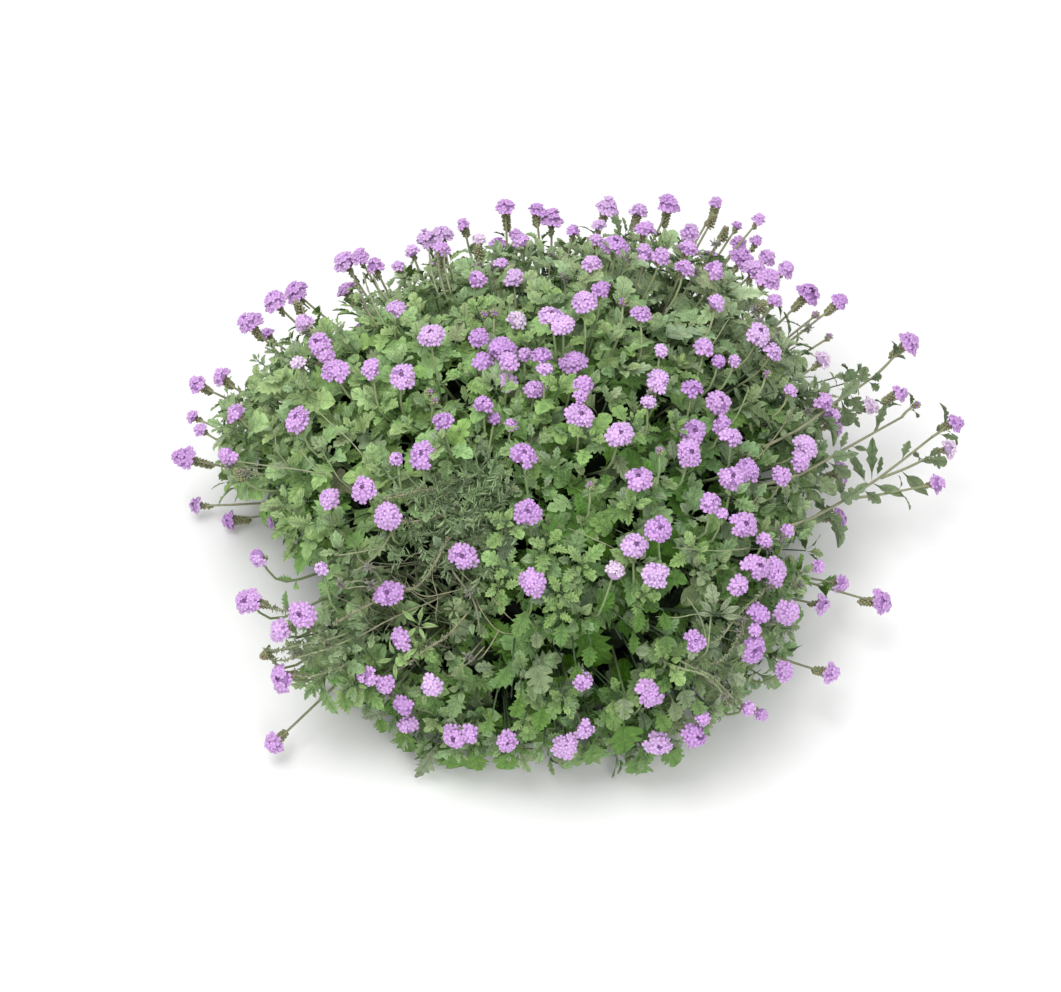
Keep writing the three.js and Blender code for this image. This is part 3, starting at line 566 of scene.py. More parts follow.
def place_rosettes():
    """The leaf rosettes at the branches' tips, as they stand in the frame."""
    found = []
    for i, direction in enumerate(spiral(ROSETTE_COUNT, 0.02, 0.0)):
        branch = nearest_branch(direction)
        out = canopy(direction[None])[0]
        axis = normal_at(APEX + direction * out) + UP * 0.25
        axis = unit(axis + scatter(i * 5 + 3001) * LEVEL * 0.6)
        for height in (0.97, 0.92, 1.01):
            centre = APEX + direction * (out * height - 6)
            if frame_point(centre + axis * LEAF_THICKNESS / 2) is None:
                continue
            along = unit(centre - root_of(direction, branch, 0.7))
            u, v = sideways(axis, tangent_at(along))
            best = (1.08, 0)
            for size in (1.08, 0.96, 0.84, 0.72):
                for k in range(6):
                    turn = (draw(i * 5 + 3003) + k / 6) * (math.pi / 2)
                    length = LEAF_LENGTH * size
                    tip = centre + length * (around(u, v, turn) - axis * 0.24)
                    if frame_point(tip, 0.3) is not None:
                        best = (size, k)
            turn = (draw(i * 5 + 3003) + best[1] / 6) * (math.pi / 2)
            found.append(dict(branch=branch, centre=centre, axis=axis, u=u, v=v, turn=turn, size=best[0]))
            break
    return found


sprays = grow_sprays()
heads = place_heads()
rosettes = place_rosettes()


# ---------------------------------------------------------------- zones of the foliage
# The leafy outline on the sight frame; shoots keep inside it.
OUTLINE = np.array([
    (345, 332), (300, 340), (262, 350), (240, 376), (215, 398), (208, 440), (224, 482), (264, 500),
    (284, 552), (334, 572), (316, 600), (292, 622), (262, 650), (330, 692), (368, 722), (412, 764),
    (480, 770), (560, 764), (620, 770), (676, 764), (690, 740), (732, 726), (752, 704), (754, 690),
    (776, 678), (796, 655), (803, 610), (808, 560), (814, 510), (832, 452), (838, 400), (814, 368),
    (794, 330), (774, 300), (752, 270), (722, 248), (690, 234), (640, 226), (560, 230), (500, 240),
    (440, 264), (415, 278), (388, 292), (368, 312),
], dtype=float)


def inside_by(x, y):
    """How far a point of the sight frame lies inside the leafy outline; negative outside it."""
    ends = np.roll(OUTLINE, -1, axis=0)
    way = ends - OUTLINE
    along = (x - OUTLINE[:, 0]) * way[:, 0] + (y - OUTLINE[:, 1]) * way[:, 1]
    share = np.clip(along / (way**2).sum(1), 0, 1)
    far = np.hypot(OUTLINE[:, 0] + way[:, 0] * share - x, OUTLINE[:, 1] + way[:, 1] * share - y).min()
    crossed = (OUTLINE[:, 1] > y) != (ends[:, 1] > y)
    edge_x = OUTLINE[:, 0] + (y - OUTLINE[:, 1]) * way[:, 0] / np.where(way[:, 1] == 0, 1, way[:, 1])
    return far if np.count_nonzero(crossed & (x < edge_x)) % 2 else -far


def in_gap(p):
    """Whether a place shows in one of the deep gaps."""
    x, y = sight_place(p)
    wider = 2.6 if x > 500 and y > 430 else 1.4
    return bool(((GAPS[:, 0] - x) ** 2 + (GAPS[:, 1] - y) ** 2 < wider * GAPS[:, 2] ** 2).any())


def zone(x, y, cx, cy, rx, ry):
    """A soft patch of the sight frame: 1 at its middle, fading outwards."""
    return np.exp(-(((x - cx) / rx) ** 2 + ((y - cy) / ry) ** 2))


Growth = namedtuple("Growth", ZONES)


def zones(p):
    """How much of each kind of foliage there is at a place, from 0 to 1."""
    x, y = sight_place(p)
    sums = [sum(share * zone(x, y, *patch) for share, *patch in patches) for patches in ZONES.values()]
    return Growth(*[float(min(1.0, amount)) for amount in sums])


LUMP_WAVES = np.array([(15.0, 5.0, 9.0), (7.0, 16.0, -9.0), (29.0, -17.0, 21.0), (-19.0, 31.0, 17.0)])


def lumps(direction):
    """Broad swells and hollows of the leafy surface."""
    a, b, c, d = direction @ LUMP_WAVES.T
    return 0.05 * (np.sin(a + 1.0) * np.sin(b + 2.0)) + 0.035 * (np.sin(c) * np.sin(d + 0.7))


def srgb(r, g, b):
    """The linear colour of a screen colour."""
    c = np.array([r, g, b]) / 255.0
    return np.where(c <= 0.04045, c / 12.92, ((c + 0.055) / 1.055) ** 2.4)


def mix(a, b, share):
    return a + (b - a) * share


LEAF_YOUNG = srgb(141, 162, 116)
LEAF_BRIGHT = srgb(138, 168, 100)
LEAF_FRESH = srgb(149, 178, 115)
LEAF_MIDDLE = srgb(135, 163, 112)
LEAF_DEEP = srgb(100, 130, 87)
LEAF_GREY = srgb(143, 157, 125)
LEAF_OLIVE = srgb(144, 156, 120)
# Near-black green for the leaves and the lump deep inside the mound: painted shade.
LEAF_PAINTED_SHADE = srgb(8, 27, 3)
STEM_GREEN = srgb(130, 152, 100)
STEM_OLIVE = srgb(146, 148, 116)
STEM_DRY = srgb(140, 138, 108)
STEM_WOOD = srgb(84, 90, 56)
STEM_PALE = srgb(146, 152, 120)
LITTER_GREY = srgb(122, 126, 100)
LITTER_DARK = srgb(48, 62, 32)
LITTER_MAUVE = srgb(158, 150, 158)
PETAL_LILAC = srgb(204, 160, 218)
PETAL_LIGHT = srgb(218, 187, 230)
PETAL_VIOLET = srgb(186, 138, 206)
PETAL_FADED = srgb(222, 200, 226)
CALYX_GREEN = srgb(146, 154, 112)
CALYX_BROWN = srgb(150, 142, 114)
EYE_DARK = srgb(84, 58, 88)
# How much the oldest leaves lose of red, green and blue: partly their age, partly painted shade.
AGE_AND_SHADE_DARKENS = np.array([0.50, 0.25, 0.83])
CUSHION = srgb(160, 118, 176)
BARK_DARK = srgb(58, 44, 30)
BARK_LIGHT = srgb(146, 122, 88)


# ---------------------------------------------------------------- the repeated shapes, each modelled once
def start_shape():
    bpy.ops.object.select_all(action="DESELECT")


def edit_all(*steps):
    bpy.ops.object.mode_set(mode="EDIT")
    bpy.ops.mesh.select_all(action="SELECT")
    for step in steps:
        step()
    bpy.ops.object.mode_set(mode="OBJECT")


def take_shape():
    """The active object's points and faces; the object itself is then removed."""
    obj = bpy.context.active_object
    bpy.context.view_layer.update()
    points = np.array([(obj.matrix_world @ v.co)[:] for v in obj.data.vertices])
    faces = [tuple(p.vertices) for p in obj.data.polygons]
    mesh = obj.data
    bpy.data.objects.remove(obj)
    bpy.data.meshes.remove(mesh)
    return points, faces


def leaf_shape(rows):
    """A two-sided leaf blade: rows along it, the rim shared by both faces, a rib that is apart."""
    start_shape()
    bpy.ops.mesh.primitive_grid_add(x_subdivisions=rows, y_subdivisions=2, size=2)
    obj = bpy.context.active_object
    for v in obj.data.vertices:
        row = round((v.co.x + 1) / 2 * rows)
        side = round(v.co.y)
        if row in (0, rows):
            side = 0
        rib = 1.0 if side == 0 and 0 < row < rows else 0.0
        v.co = (row, side, rib)
    edit_all(
        lambda: bpy.ops.mesh.duplicate(),
        lambda: bpy.ops.transform.resize(value=(1, 1, -1), center_override=(0, 0, 0)),
        lambda: bpy.ops.mesh.flip_normals(),
        lambda: bpy.ops.mesh.select_all(action="SELECT"),
        lambda: bpy.ops.mesh.remove_doubles(threshold=0.01),
    )
    return take_shape()


def floret_shape():
    """A flower's five notched petals round its throat, closed underneath by a short cone."""
    start_shape()
    bpy.ops.mesh.primitive_circle_add(vertices=20, radius=1, fill_type="NOTHING")
    edit_all(
        lambda: bpy.ops.mesh.extrude_edges_move(),
        lambda: bpy.ops.transform.resize(value=(0.5, 0.5, 1), center_override=(0, 0, 0)),
        lambda: bpy.ops.mesh.extrude_edges_move(),
        lambda: bpy.ops.transform.resize(value=(0, 0, 1), center_override=(0, 0, 0)),
        lambda: bpy.ops.transform.translate(value=(0, 0, -0.12)),
        lambda: bpy.ops.mesh.select_all(action="SELECT"),
        lambda: bpy.ops.mesh.remove_doubles(threshold=0.01),
    )
    obj = bpy.context.active_object
    bpy.ops.object.mode_set(mode="EDIT")
    bpy.ops.mesh.select_all(action="DESELECT")
    bpy.ops.mesh.select_non_manifold()
    bpy.ops.mesh.extrude_edges_move()
    bpy.ops.transform.resize(value=(0, 0, 1), center_override=(0, 0, 0))
    bpy.ops.transform.translate(value=(0, 0, -1.1))
    bpy.ops.mesh.select_all(action="SELECT")
    bpy.ops.mesh.remove_doubles(threshold=0.01)
    bpy.ops.mesh.normals_make_consistent(inside=False)
    bpy.ops.object.mode_set(mode="OBJECT")
    for v in obj.data.vertices:
        r = math.hypot(v.co.x, v.co.y)
        if r < 0.05:
            continue
        a = math.atan2(v.co.y, v.co.x)
        step = round(a / TAU * 20) % 4
        if r > 0.7:
            share = (0.62, 0.98, 0.90, 0.98)[step]
            lift = (-0.1, 0.03, 0.1, 0.03)[step]
        else:
            share = (0.3, 0.5, 0.56, 0.5)[step]
            lift = (-0.05, 0.1, 0.14, 0.1)[step]
        swing = (0.0, -0.06, 0.0, 0.06)[step] * (1 if r > 0.7 else 0.5)
        v.co = (share * math.cos(a + swing), share * math.sin(a + swing), lift)
    return take_shape()


def calyx_shape():
    """A slim four-sided cone, its foot at the origin and its wide end one along z."""
    start_shape()
    bpy.ops.mesh.primitive_cone_add(vertices=4, radius1=0.5, radius2=1.0, depth=1.0, location=(0, 0, 0.5))
    return take_shape()


def round_shape(steps):
    start_shape()
    bpy.ops.mesh.primitive_ico_sphere_add(subdivisions=steps, radius=1)
    return take_shape()


LEAF = leaf_shape(12)
LEAFLET = leaf_shape(8)
FLORET = floret_shape()
CALYX = calyx_shape()
BUD = round_shape(1)
DOME = round_shape(2)
CLUMP = round_shape(3)

# Leaf outlines, row by row: how far along the rim point lies and the half width; then the rib's own rows.
LOBED = [(-0.30, 0), (0.0, 0.024), (0.05, 0.20), (0.17, 0.37), (0.31, 0.39), (0.36, 0.20), (0.48, 0.37),
         (0.61, 0.34), (0.63, 0.17), (0.78, 0.24), (0.90, 0.16), (0.97, 0.08), (1.0, 0)]
WEDGE = [(-0.30, 0), (0.0, 0.03), (0.14, 0.08), (0.27, 0.19), (0.36, 0.33), (0.43, 0.22), (0.52, 0.40),
         (0.63, 0.43), (0.67, 0.25), (0.80, 0.31), (0.90, 0.24), (0.98, 0.10), (1.0, 0)]
CUT = [(-0.30, 0), (0.0, 0.03), (0.12, 0.20), (0.16, 0.15), (0.30, 0.38), (0.34, 0.20), (0.50, 0.40),
       (0.52, 0.20), (0.70, 0.31), (0.71, 0.17), (0.86, 0.18), (0.90, 0.10), (1.0, 0)]
TOOTHED = [(-0.30, 0), (0.0, 0.03), (0.12, 0.13), (0.18, 0.18), (0.30, 0.36), (0.35, 0.23), (0.50, 0.40),
           (0.53, 0.23), (0.68, 0.32), (0.71, 0.20), (0.85, 0.20), (0.89, 0.11), (1.0, 0)]
FEATHER = [(-0.30, 0), (0.0, 0.018), (0.12, 0.20), (0.12, 0.05), (0.32, 0.29), (0.29, 0.06), (0.54, 0.28),
           (0.50, 0.055), (0.74, 0.20), (0.70, 0.05), (0.90, 0.11), (0.86, 0.05), (1.0, 0)]
RIB_X = np.array([-0.30, 0.0, 0.06, 0.12, 0.22, 0.30, 0.40, 0.49, 0.60, 0.68, 0.78, 0.87, 1.0])
YOUNG = [(-0.30, 0), (0.0, 0.03), (0.20, 0.15), (0.36, 0.31), (0.46, 0.18), (0.62, 0.31), (0.74, 0.19),
         (0.90, 0.13), (1.0, 0)]
OVAL = [(-0.30, 0), (0.0, 0.03), (0.13, 0.20), (0.29, 0.30), (0.44, 0.30), (0.58, 0.25), (0.73, 0.17),
        (0.88, 0.08), (1.0, 0)]
LANCE = [(-0.30, 0), (0.0, 0.02), (0.16, 0.09), (0.32, 0.13), (0.46, 0.14), (0.60, 0.12), (0.75, 0.08),
         (0.90, 0.035), (1.0, 0)]
PLUME = [(-0.30, 0), (0.0, 0.02), (0.20, 0.22), (0.20, 0.06), (0.46, 0.27), (0.43, 0.07), (0.72, 0.20),
         (0.68, 0.06), (1.0, 0)]
YOUNG_RIB_X = np.array([-0.30, 0.0, 0.12, 0.26, 0.40, 0.54, 0.68, 0.84, 1.0])
BLADES = {
    False: (LEAF, RIB_X, np.array([LOBED, WEDGE, CUT, TOOTHED, FEATHER, FEATHER])),
    True: (LEAFLET, YOUNG_RIB_X, np.array([YOUNG, YOUNG, YOUNG, OVAL, PLUME, LANCE])),
}


# ---------------------------------------------------------------- gathering copies into one mesh
class Gather:
    """Collects copies of shapes, then makes one mesh of them."""

    def __init__(self):
        self.points, self.faces, self.uvs, self.tints, self.slots = [], [], [], [], []
        self.count = 0

    def add(self, points, faces, uv, tint, slot):
        """points (copies, n, 3) in mm; uv (n, 2) or (copies, n, 2); tint (copies, 3) or (copies, n, 3)."""
        copies, n = points.shape[:2]
        if not copies:
            return
        self.points.append(points.reshape(-1, 3))
        uv = np.broadcast_to(uv, (copies, n, 2)).reshape(-1, 2)
        self.uvs.append(uv)
        tint = tint if tint.ndim == 3 else np.broadcast_to(tint[:, None, :], (copies, n, 3))
        self.tints.append(np.broadcast_to(tint, (copies, n, 3)).reshape(-1, 3))
        for size in sorted({len(f) for f in faces}):
            f = np.array([g for g in faces if len(g) == size])
            offset = self.count + np.arange(copies)[:, None, None] * n
            self.faces.append((f[None] + offset).reshape(-1, size))
            self.slots.append(np.full(copies * len(f), slot))
        self.count += copies * n

    def make(self, name, materials):
        points = np.concatenate(self.points)
        points[:, 2] = np.maximum(points[:, 2], LOWEST_POINT)
        mesh = bpy.data.meshes.new(name)
        mesh.vertices.add(len(points))
        mesh.vertices.foreach_set("co", (points * MM).astype(np.float32).ravel())
        corners = np.concatenate([f.ravel() for f in self.faces])
        sizes = np.concatenate([np.full(len(f), f.shape[1]) for f in self.faces])
        mesh.loops.add(len(corners))
        mesh.loops.foreach_set("vertex_index", corners.astype(np.int32))
        mesh.polygons.add(len(sizes))
        mesh.polygons.foreach_set("loop_start", (np.cumsum(sizes) - sizes).astype(np.int32))
        mesh.polygons.foreach_set("material_index", np.concatenate(self.slots).astype(np.int32))
        mesh.update(calc_edges=True)
        uv = mesh.uv_layers.new(name="shape")
        uv.data.foreach_set("uv", np.concatenate(self.uvs)[corners].astype(np.float32).ravel())
        tint = mesh.color_attributes.new(name="tint", type="FLOAT_COLOR", domain="POINT")
        colours = np.concatenate([np.concatenate(self.tints), np.ones((len(points), 1))], axis=1)
        tint.data.foreach_set("color", colours.astype(np.float32).ravel())
        for material in materials:
            mesh.materials.append(material)
        mesh.validate()
        piece = bpy.data.objects.new(name, mesh)
        bpy.context.scene.collection.objects.link(piece)
        bpy.ops.object.select_all(action="DESELECT")
        piece.select_set(True)
        bpy.context.view_layer.objects.active = piece
        bpy.ops.object.shade_smooth_by_angle(angle=math.radians(100))
        return piece


class Leaves:
    """Leaves gathered one by one, then shaped together."""

    def __init__(self):
        self.rows = []
        self.small = []

    def add(self, base, along, normal, length, width, kind, bend, fold, twist, tint, small=False):
        rows = self.small if small else self.rows
        rows.append((base, along, normal, length, width, kind, bend, fold, twist, tint))

    def into(self, gather, slot=0):
        self.shape(gather, slot, self.rows, *BLADES[False])
        self.shape(gather, slot, self.small, *BLADES[True])

    def shape(self, gather, slot, leaves, blade, rib_x, outlines):
        if not leaves:
            return
        base, along, normal, length, width, kind, bend, fold, twist, tint = [
            np.array(column, dtype=float) for column in zip(*leaves)
        ]
        along = unit(along)
        side = unit(np.cross(normal, along))
        normal = np.cross(along, side)
        points, faces = blade
        row = points[:, 0].round().astype(int)
        lateral = points[:, 1]
        rib = points[:, 2]
        outline = outlines[kind.astype(int)]
        x = np.where(lateral == 0, rib_x[row], outline[:, row, 0])
        y = outline[:, row, 1] * lateral * width[:, None]
        wave = 0.035 * np.sin(10.0 * x + 7.0 * bend[:, None] + 2.0 * lateral)
        z = rib * 0.008 + fold[:, None] * np.abs(y) + wave * np.abs(lateral)
        z = z - bend[:, None] * np.maximum(x, 0) ** 2 + 0.10 * np.maximum(x, 0)
        turn = twist[:, None] * np.maximum(x, 0)
        y, z = y * np.cos(turn) - z * np.sin(turn), y * np.sin(turn) + z * np.cos(turn)
        shift = x + 0.30
        place = (
            base[:, None]
            + (shift * length[:, None])[..., None] * along[:, None]
            + (y * length[:, None])[..., None] * side[:, None]
            + (z * length[:, None])[..., None] * normal[:, None]
        )
        uv = np.stack([(rib_x[row] + 0.3) / 1.3, 0.5 + 0.5 * lateral], axis=-1)
        # Painted shade: each leaf is darker towards its shaded base and lighter towards its tip and rim.
        edge = 0.84 + 0.28 * np.clip(rib_x[row], 0, 1) + 0.10 * np.abs(lateral)
        gather.add(place, faces, uv, tint[:, None, :] * edge[None, :, None], slot)


def tubes(gather, paths, radii, tint, slot, sides=STEM_SIDES):
    """Round stems along paths (copies, n, 3) with radii (copies, n), closed at both ends."""
    copies, n = paths.shape[:2]
    if not copies:
        return
    along = unit(np.gradient(paths, axis=1))
    level = tangent_at(unit(paths[:, -1] - paths[:, 0]) + OFF_PLUMB)
    u, v = sideways(along, np.broadcast_to(level[:, None], along.shape))
    a = np.arange(sides) * TAU / sides
    ring = np.cos(a)[:, None] * u[:, :, None] + np.sin(a)[:, None] * v[:, :, None]
    points = paths[:, :, None] + ring * radii[:, :, None, None]
    faces = []
    for j in range(n - 1):
        for i in range(sides):
            k = (i + 1) % sides
            faces.append((j * sides + i, j * sides + k, (j + 1) * sides + k, (j + 1) * sides + i))
    faces.append(tuple(reversed(range(sides))))
    faces.append(tuple((n - 1) * sides + i for i in range(sides)))
    uv = np.stack([np.tile(np.arange(sides) / sides, n), np.repeat(np.arange(n) / (n - 1), sides)], axis=-1)
    gather.add(points.reshape(copies, n * sides, 3), faces, uv, tint, slot)


def smooth_path(knots, count, passes=2):
    """Evenly spaced points along a line of knots, with its corners rounded."""
    knots = np.array(knots)
    lengths = np.concatenate([[0], np.cumsum(np.linalg.norm(np.diff(knots, axis=0), axis=1))])
    t = np.linspace(0, lengths[-1], count)
    path = np.stack([np.interp(t, lengths, knots[:, i]) for i in range(3)], axis=-1)
    for _ in range(passes):
        path[1:-1] = (path[:-2] + 2 * path[1:-1] + path[2:]) / 4
    return path


def along_path(path, share):
    """The point a share of the way along a path, and the path's direction there."""
    i = min(share * (len(path) - 1), len(path) - 1.001)
    k = int(i)
    return path[k] * (1 - i % 1) + path[k + 1] * (i % 1), unit(path[k + 1] - path[k])


def copies_of(shape, at, u, v, w, scale):
    """Copies of a shape at places, its x, y and z turned to u, v, w and scaled by (copies, 3)."""
    points = shape[0]
    return (
        at[:, None]
        + (points[:, 0] * scale[:, 0:1])[..., None] * u[:, None]
        + (points[:, 1] * scale[:, 1:2])[..., None] * v[:, None]
        + (points[:, 2] * scale[:, 2:3])[..., None] * w[:, None]
    )


def flat_map(points):
    """The map of a shape that shows no pattern."""
    return np.full((len(points), 2), 0.5)


# ---------------------------------------------------------------- materials
class Nodes:
    """The nodes of a material or a group while it is put together."""

    def __init__(self, tree):
        self.nodes = tree.nodes
        self.links = tree.links

    def new(self, kind, **settings):
        node = self.nodes.new(kind)
        for name, value in settings.items():
            setattr(node, name, value)
        return node

    def feed(self, socket, value):
        """Sets a socket to a number, or links an output to it."""
        if isinstance(value, (int, float)):
            socket.default_value = value
        else:
            self.links.new(value, socket)

    def math(self, operation, *values):
        node = self.new("ShaderNodeMath", operation=operation)
        for socket, value in zip(node.inputs, values):
            self.feed(socket, value)
        return node.outputs[0]


def new_group(name, given, kind, result):
    """A group with one input and one output: the group, its nodes, the input and the place for the result."""
    group = bpy.data.node_groups.new(name, "ShaderNodeTree")
    group.interface.new_socket(given, in_out="INPUT", socket_type=kind)
    group.interface.new_socket(result, in_out="OUTPUT", socket_type="NodeSocketFloat")
    inside = Nodes(group)
    return group, inside, inside.new("NodeGroupInput").outputs[0], inside.new("NodeGroupOutput").inputs[0]


def rib_group():
    """Ribs of a leaf: a middle rib and slanting side ribs, read from the blade's own map."""
    group, inside, given, result = new_group("leaf_ribs", "Map", "NodeSocketVector", "Ribs")
    split = inside.new("ShaderNodeSeparateXYZ")
    inside.feed(split.inputs[0], given)
    across = inside.math("ABSOLUTE", inside.math("SUBTRACT", split.outputs["Y"], 0.5))
    middle = inside.math("SUBTRACT", 1.0, inside.math("MULTIPLY", across, MIDDLE_RIB_EDGE))
    slant = inside.math("SUBTRACT", split.outputs["X"], inside.math("MULTIPLY", across, SIDE_RIB_SLANT))
    wave = inside.math("SINE", inside.math("MULTIPLY", slant, SIDE_RIB_PACE))
    side = inside.math("POWER", inside.math("MAXIMUM", wave, 0.0), 4.0)
    fade = inside.math("SUBTRACT", 1.0, inside.math("MULTIPLY", across, SIDE_RIB_FADE))
    side = inside.math("MULTIPLY", side, inside.math("MAXIMUM", fade, 0.0))
    inside.feed(result, inside.math("MAXIMUM", inside.math("MAXIMUM", middle, 0.0), side))
    return group


def mottle_group():
    """Soft patches of lighter and darker tone, in the piece's own space."""
    group, inside, given, result = new_group("mottle", "Size", "NodeSocketFloat", "Value")
    noise = inside.new("ShaderNodeTexNoise")
    inside.feed(noise.inputs["Detail"], 3.0)
    inside.feed(noise.inputs["Vector"], inside.new("ShaderNodeTexCoord").outputs["Object"])
    inside.feed(noise.inputs["Scale"], given)
    inside.feed(result, noise.outputs["Fac"])
    return group


RIBS = rib_group()
MOTTLE = mottle_group()


class Finish(Nodes):
    """A material under way. Its tone, gloss and relief share one mottle; a pair is a gain and a base."""

    def __init__(self, name, patches_per_metre, rough):
        self.material = bpy.data.materials.new(name)
        self.material.use_nodes = True
        super().__init__(self.material.node_tree)
        self.sockets = self.nodes["Principled BSDF"].inputs
        self.patches = self.group(MOTTLE, patches_per_metre)
        self.feed(self.sockets["Roughness"], self.mottled(rough))

    def group(self, tree, given):
        node = self.new("ShaderNodeGroup", node_tree=tree)
        self.feed(node.inputs[0], given)
        return node.outputs[0]

    def mottled(self, pair):
        return self.math("MULTIPLY_ADD", self.patches, *pair)

    def shape_map(self):
        return self.new("ShaderNodeUVMap", uv_map="shape").outputs["UV"]

    def tint(self, tone):
        """Makes the base colour the piece's own tint times a tone."""
        scaled = self.new("ShaderNodeVectorMath", operation="SCALE")
        self.feed(scaled.inputs[0], self.new("ShaderNodeAttribute", attribute_name="tint").outputs["Color"])
        self.feed(scaled.inputs["Scale"], tone)
        self.feed(self.sockets["Base Color"], scaled.outputs[0])

    def relief(self, height, strength, distance):
        bump = self.new("ShaderNodeBump")
        self.feed(bump.inputs["Strength"], strength)
        self.feed(bump.inputs["Distance"], distance)
        self.feed(bump.inputs["Height"], height)
        self.feed(self.sockets["Normal"], bump.outputs["Normal"])


def leaf_material():
    leaf = Finish("verbena_leaf", 140.0, rough=(0.2, 0.5))
    ribs = leaf.group(RIBS, leaf.shape_map())
    leaf.tint(leaf.math("MULTIPLY_ADD", ribs, 0.7, leaf.mottled((1.1, 0.5))))
    leaf.relief(leaf.math("SUBTRACT", leaf.patches, ribs), 0.9, 0.0016)
    leaf.sockets["Specular IOR Level"].default_value = 0.16
    return leaf.material


def petal_material():
    """Darker towards the throat and lighter at the rim."""
    petal = Finish("verbena_petal", 420.0, rough=(0.15, 0.5))
    split = petal.new("ShaderNodeSeparateXYZ")
    petal.feed(split.inputs[0], petal.shape_map())
    rim = petal.new("ShaderNodeMapRange")
    petal.feed(rim.inputs["Value"], split.outputs["X"])
    for name, value in {"From Min": 0.0, "From Max": 0.9, "To Min": 0.66, "To Max": 1.18}.items():
        rim.inputs[name].default_value = value
    petal.tint(petal.math("MULTIPLY", rim.outputs["Result"], petal.mottled((0.5, 0.76))))
    petal.relief(petal.patches, 0.4, 0.0006)
    petal.sockets["Sheen Weight"].default_value = 0.15
    return petal.material


def mottled_material(name, patches_per_metre, rough, tone, strength):
    finish = Finish(name, patches_per_metre, rough)
    finish.tint(finish.mottled(tone))
    finish.relief(finish.patches, strength, 0.0006)
    return finish.material


def bark_material():
    bark = Finish("woody_crown", 90.0, rough=(0.2, 0.7))
    ramp = bark.new("ShaderNodeValToRGB")
    for element, colour in zip(ramp.color_ramp.elements, (BARK_DARK, BARK_LIGHT)):
        element.color = (*colour, 1)
    bark.feed(ramp.inputs["Fac"], bark.patches)
    bark.feed(bark.sockets["Base Color"], ramp.outputs["Color"])
    bark.relief(bark.patches, 0.8, 0.003)
    return bark.material


LEAF_MATERIAL = leaf_material()
STEM_MATERIAL = mottled_material("verbena_stem", 260.0, rough=(0.2, 0.6), tone=(0.7, 0.62), strength=0.4)
PETAL_MATERIAL = petal_material()
CALYX_MATERIAL = mottled_material("verbena_calyx", 700.0, rough=(0.2, 0.65), tone=(0.8, 0.55), strength=0.5)
BARK_MATERIAL = bark_material()


# ---------------------------------------------------------------- foliage
def leaf_tint(p, age, key):
    """The leaf's colour from its place, its age (0 youngest, 1 oldest) and a draw. Older, lower leaves are
    darker partly for their age and partly as painted shade; in the dull patches old leaves are lifted as
    painted light.
    """
    fresh, deep, dry, feather, dull = zones(p)
    colour = mix(mix(LEAF_MIDDLE, LEAF_DEEP, 0.75 * deep), LEAF_FRESH, 0.75 * fresh)
    # Older, lower leaves get darker and greener, partly for age and partly as painted shade: less in the dull
    # and fresh patches, more in the deep patch.
    age_and_shade_share = age * max(0.1, 1 - 0.9 * dull - 0.55 * fresh + 0.2 * deep)
    colour = colour * (1.06 - age_and_shade_share * AGE_AND_SHADE_DARKENS)
    young = (0.35 + 0.45 * draw(key + 17)) * max(0.0, 1 - 1.5 * age)
    colour = mix(colour, LEAF_YOUNG, young * (1 - 0.6 * max(dry, feather, dull)))
    # The grey is lifted in the dull patches: painted light.
    grey = LEAF_GREY * (1.0 - 0.12 * age + 0.1 * dull)
    colour = mix(colour, grey, min(0.85, 0.3 * dry + 0.6 * feather + 0.8 * dull))
    if age > 0.6 and draw(key + 5) < 0.003 + 0.06 * dry:
        colour = mix(LITTER_GREY, STEM_DRY, draw(key + 15)) * 0.9
    if draw(key + 9) < 0.06 + 0.12 * deep:
        colour = mix(colour, LEAF_GREY * (1.1 - 0.3 * age), 0.7)
    # Random tone. Old leaves are lifted as painted light in the dull and fresh patches, and all leaves are
    # darkened as painted shade in the deep patch.
    shade = (0.90 + 0.16 * draw(key + 6)) * (1 + age * (0.42 * dull + 0.12 * fresh)) * (1 - 0.07 * deep)
    warm = 1 + 0.12 * (draw(key + 7) - 0.5)
    return colour * shade * np.array([warm, 1.0, 1 / warm])


def leaf_kind(p, key):
    """The kind of leaf that grows at a place, drawn by the shares of the kinds there."""
    growth = zones(p)
    shares = np.array([0.2 + 1.5 * growth.fresh, 0.9, 0.6 + 0.9 * growth.deep, 0.4 + 0.6 * growth.deep,
                       2.5 * growth.feather + 0.5 * growth.dry])
    return int(np.searchsorted(np.cumsum(shares) / shares.sum(), draw(key + 16)))


def add_stem(b, foot, tip, tint, bow=0.0, thick=1.7, thin=0.9):
    """A thin stem from foot to tip, bowed to one side."""
    t = np.linspace(0, 1, STEM_POINTS)[:, None]
    b["paths"].append(foot * (1 - t) + tip * t + bow * 4 * t * (1 - t))
    b["radii"].append(np.linspace(thick, thin, STEM_POINTS))
    b["tints"].append(tint)


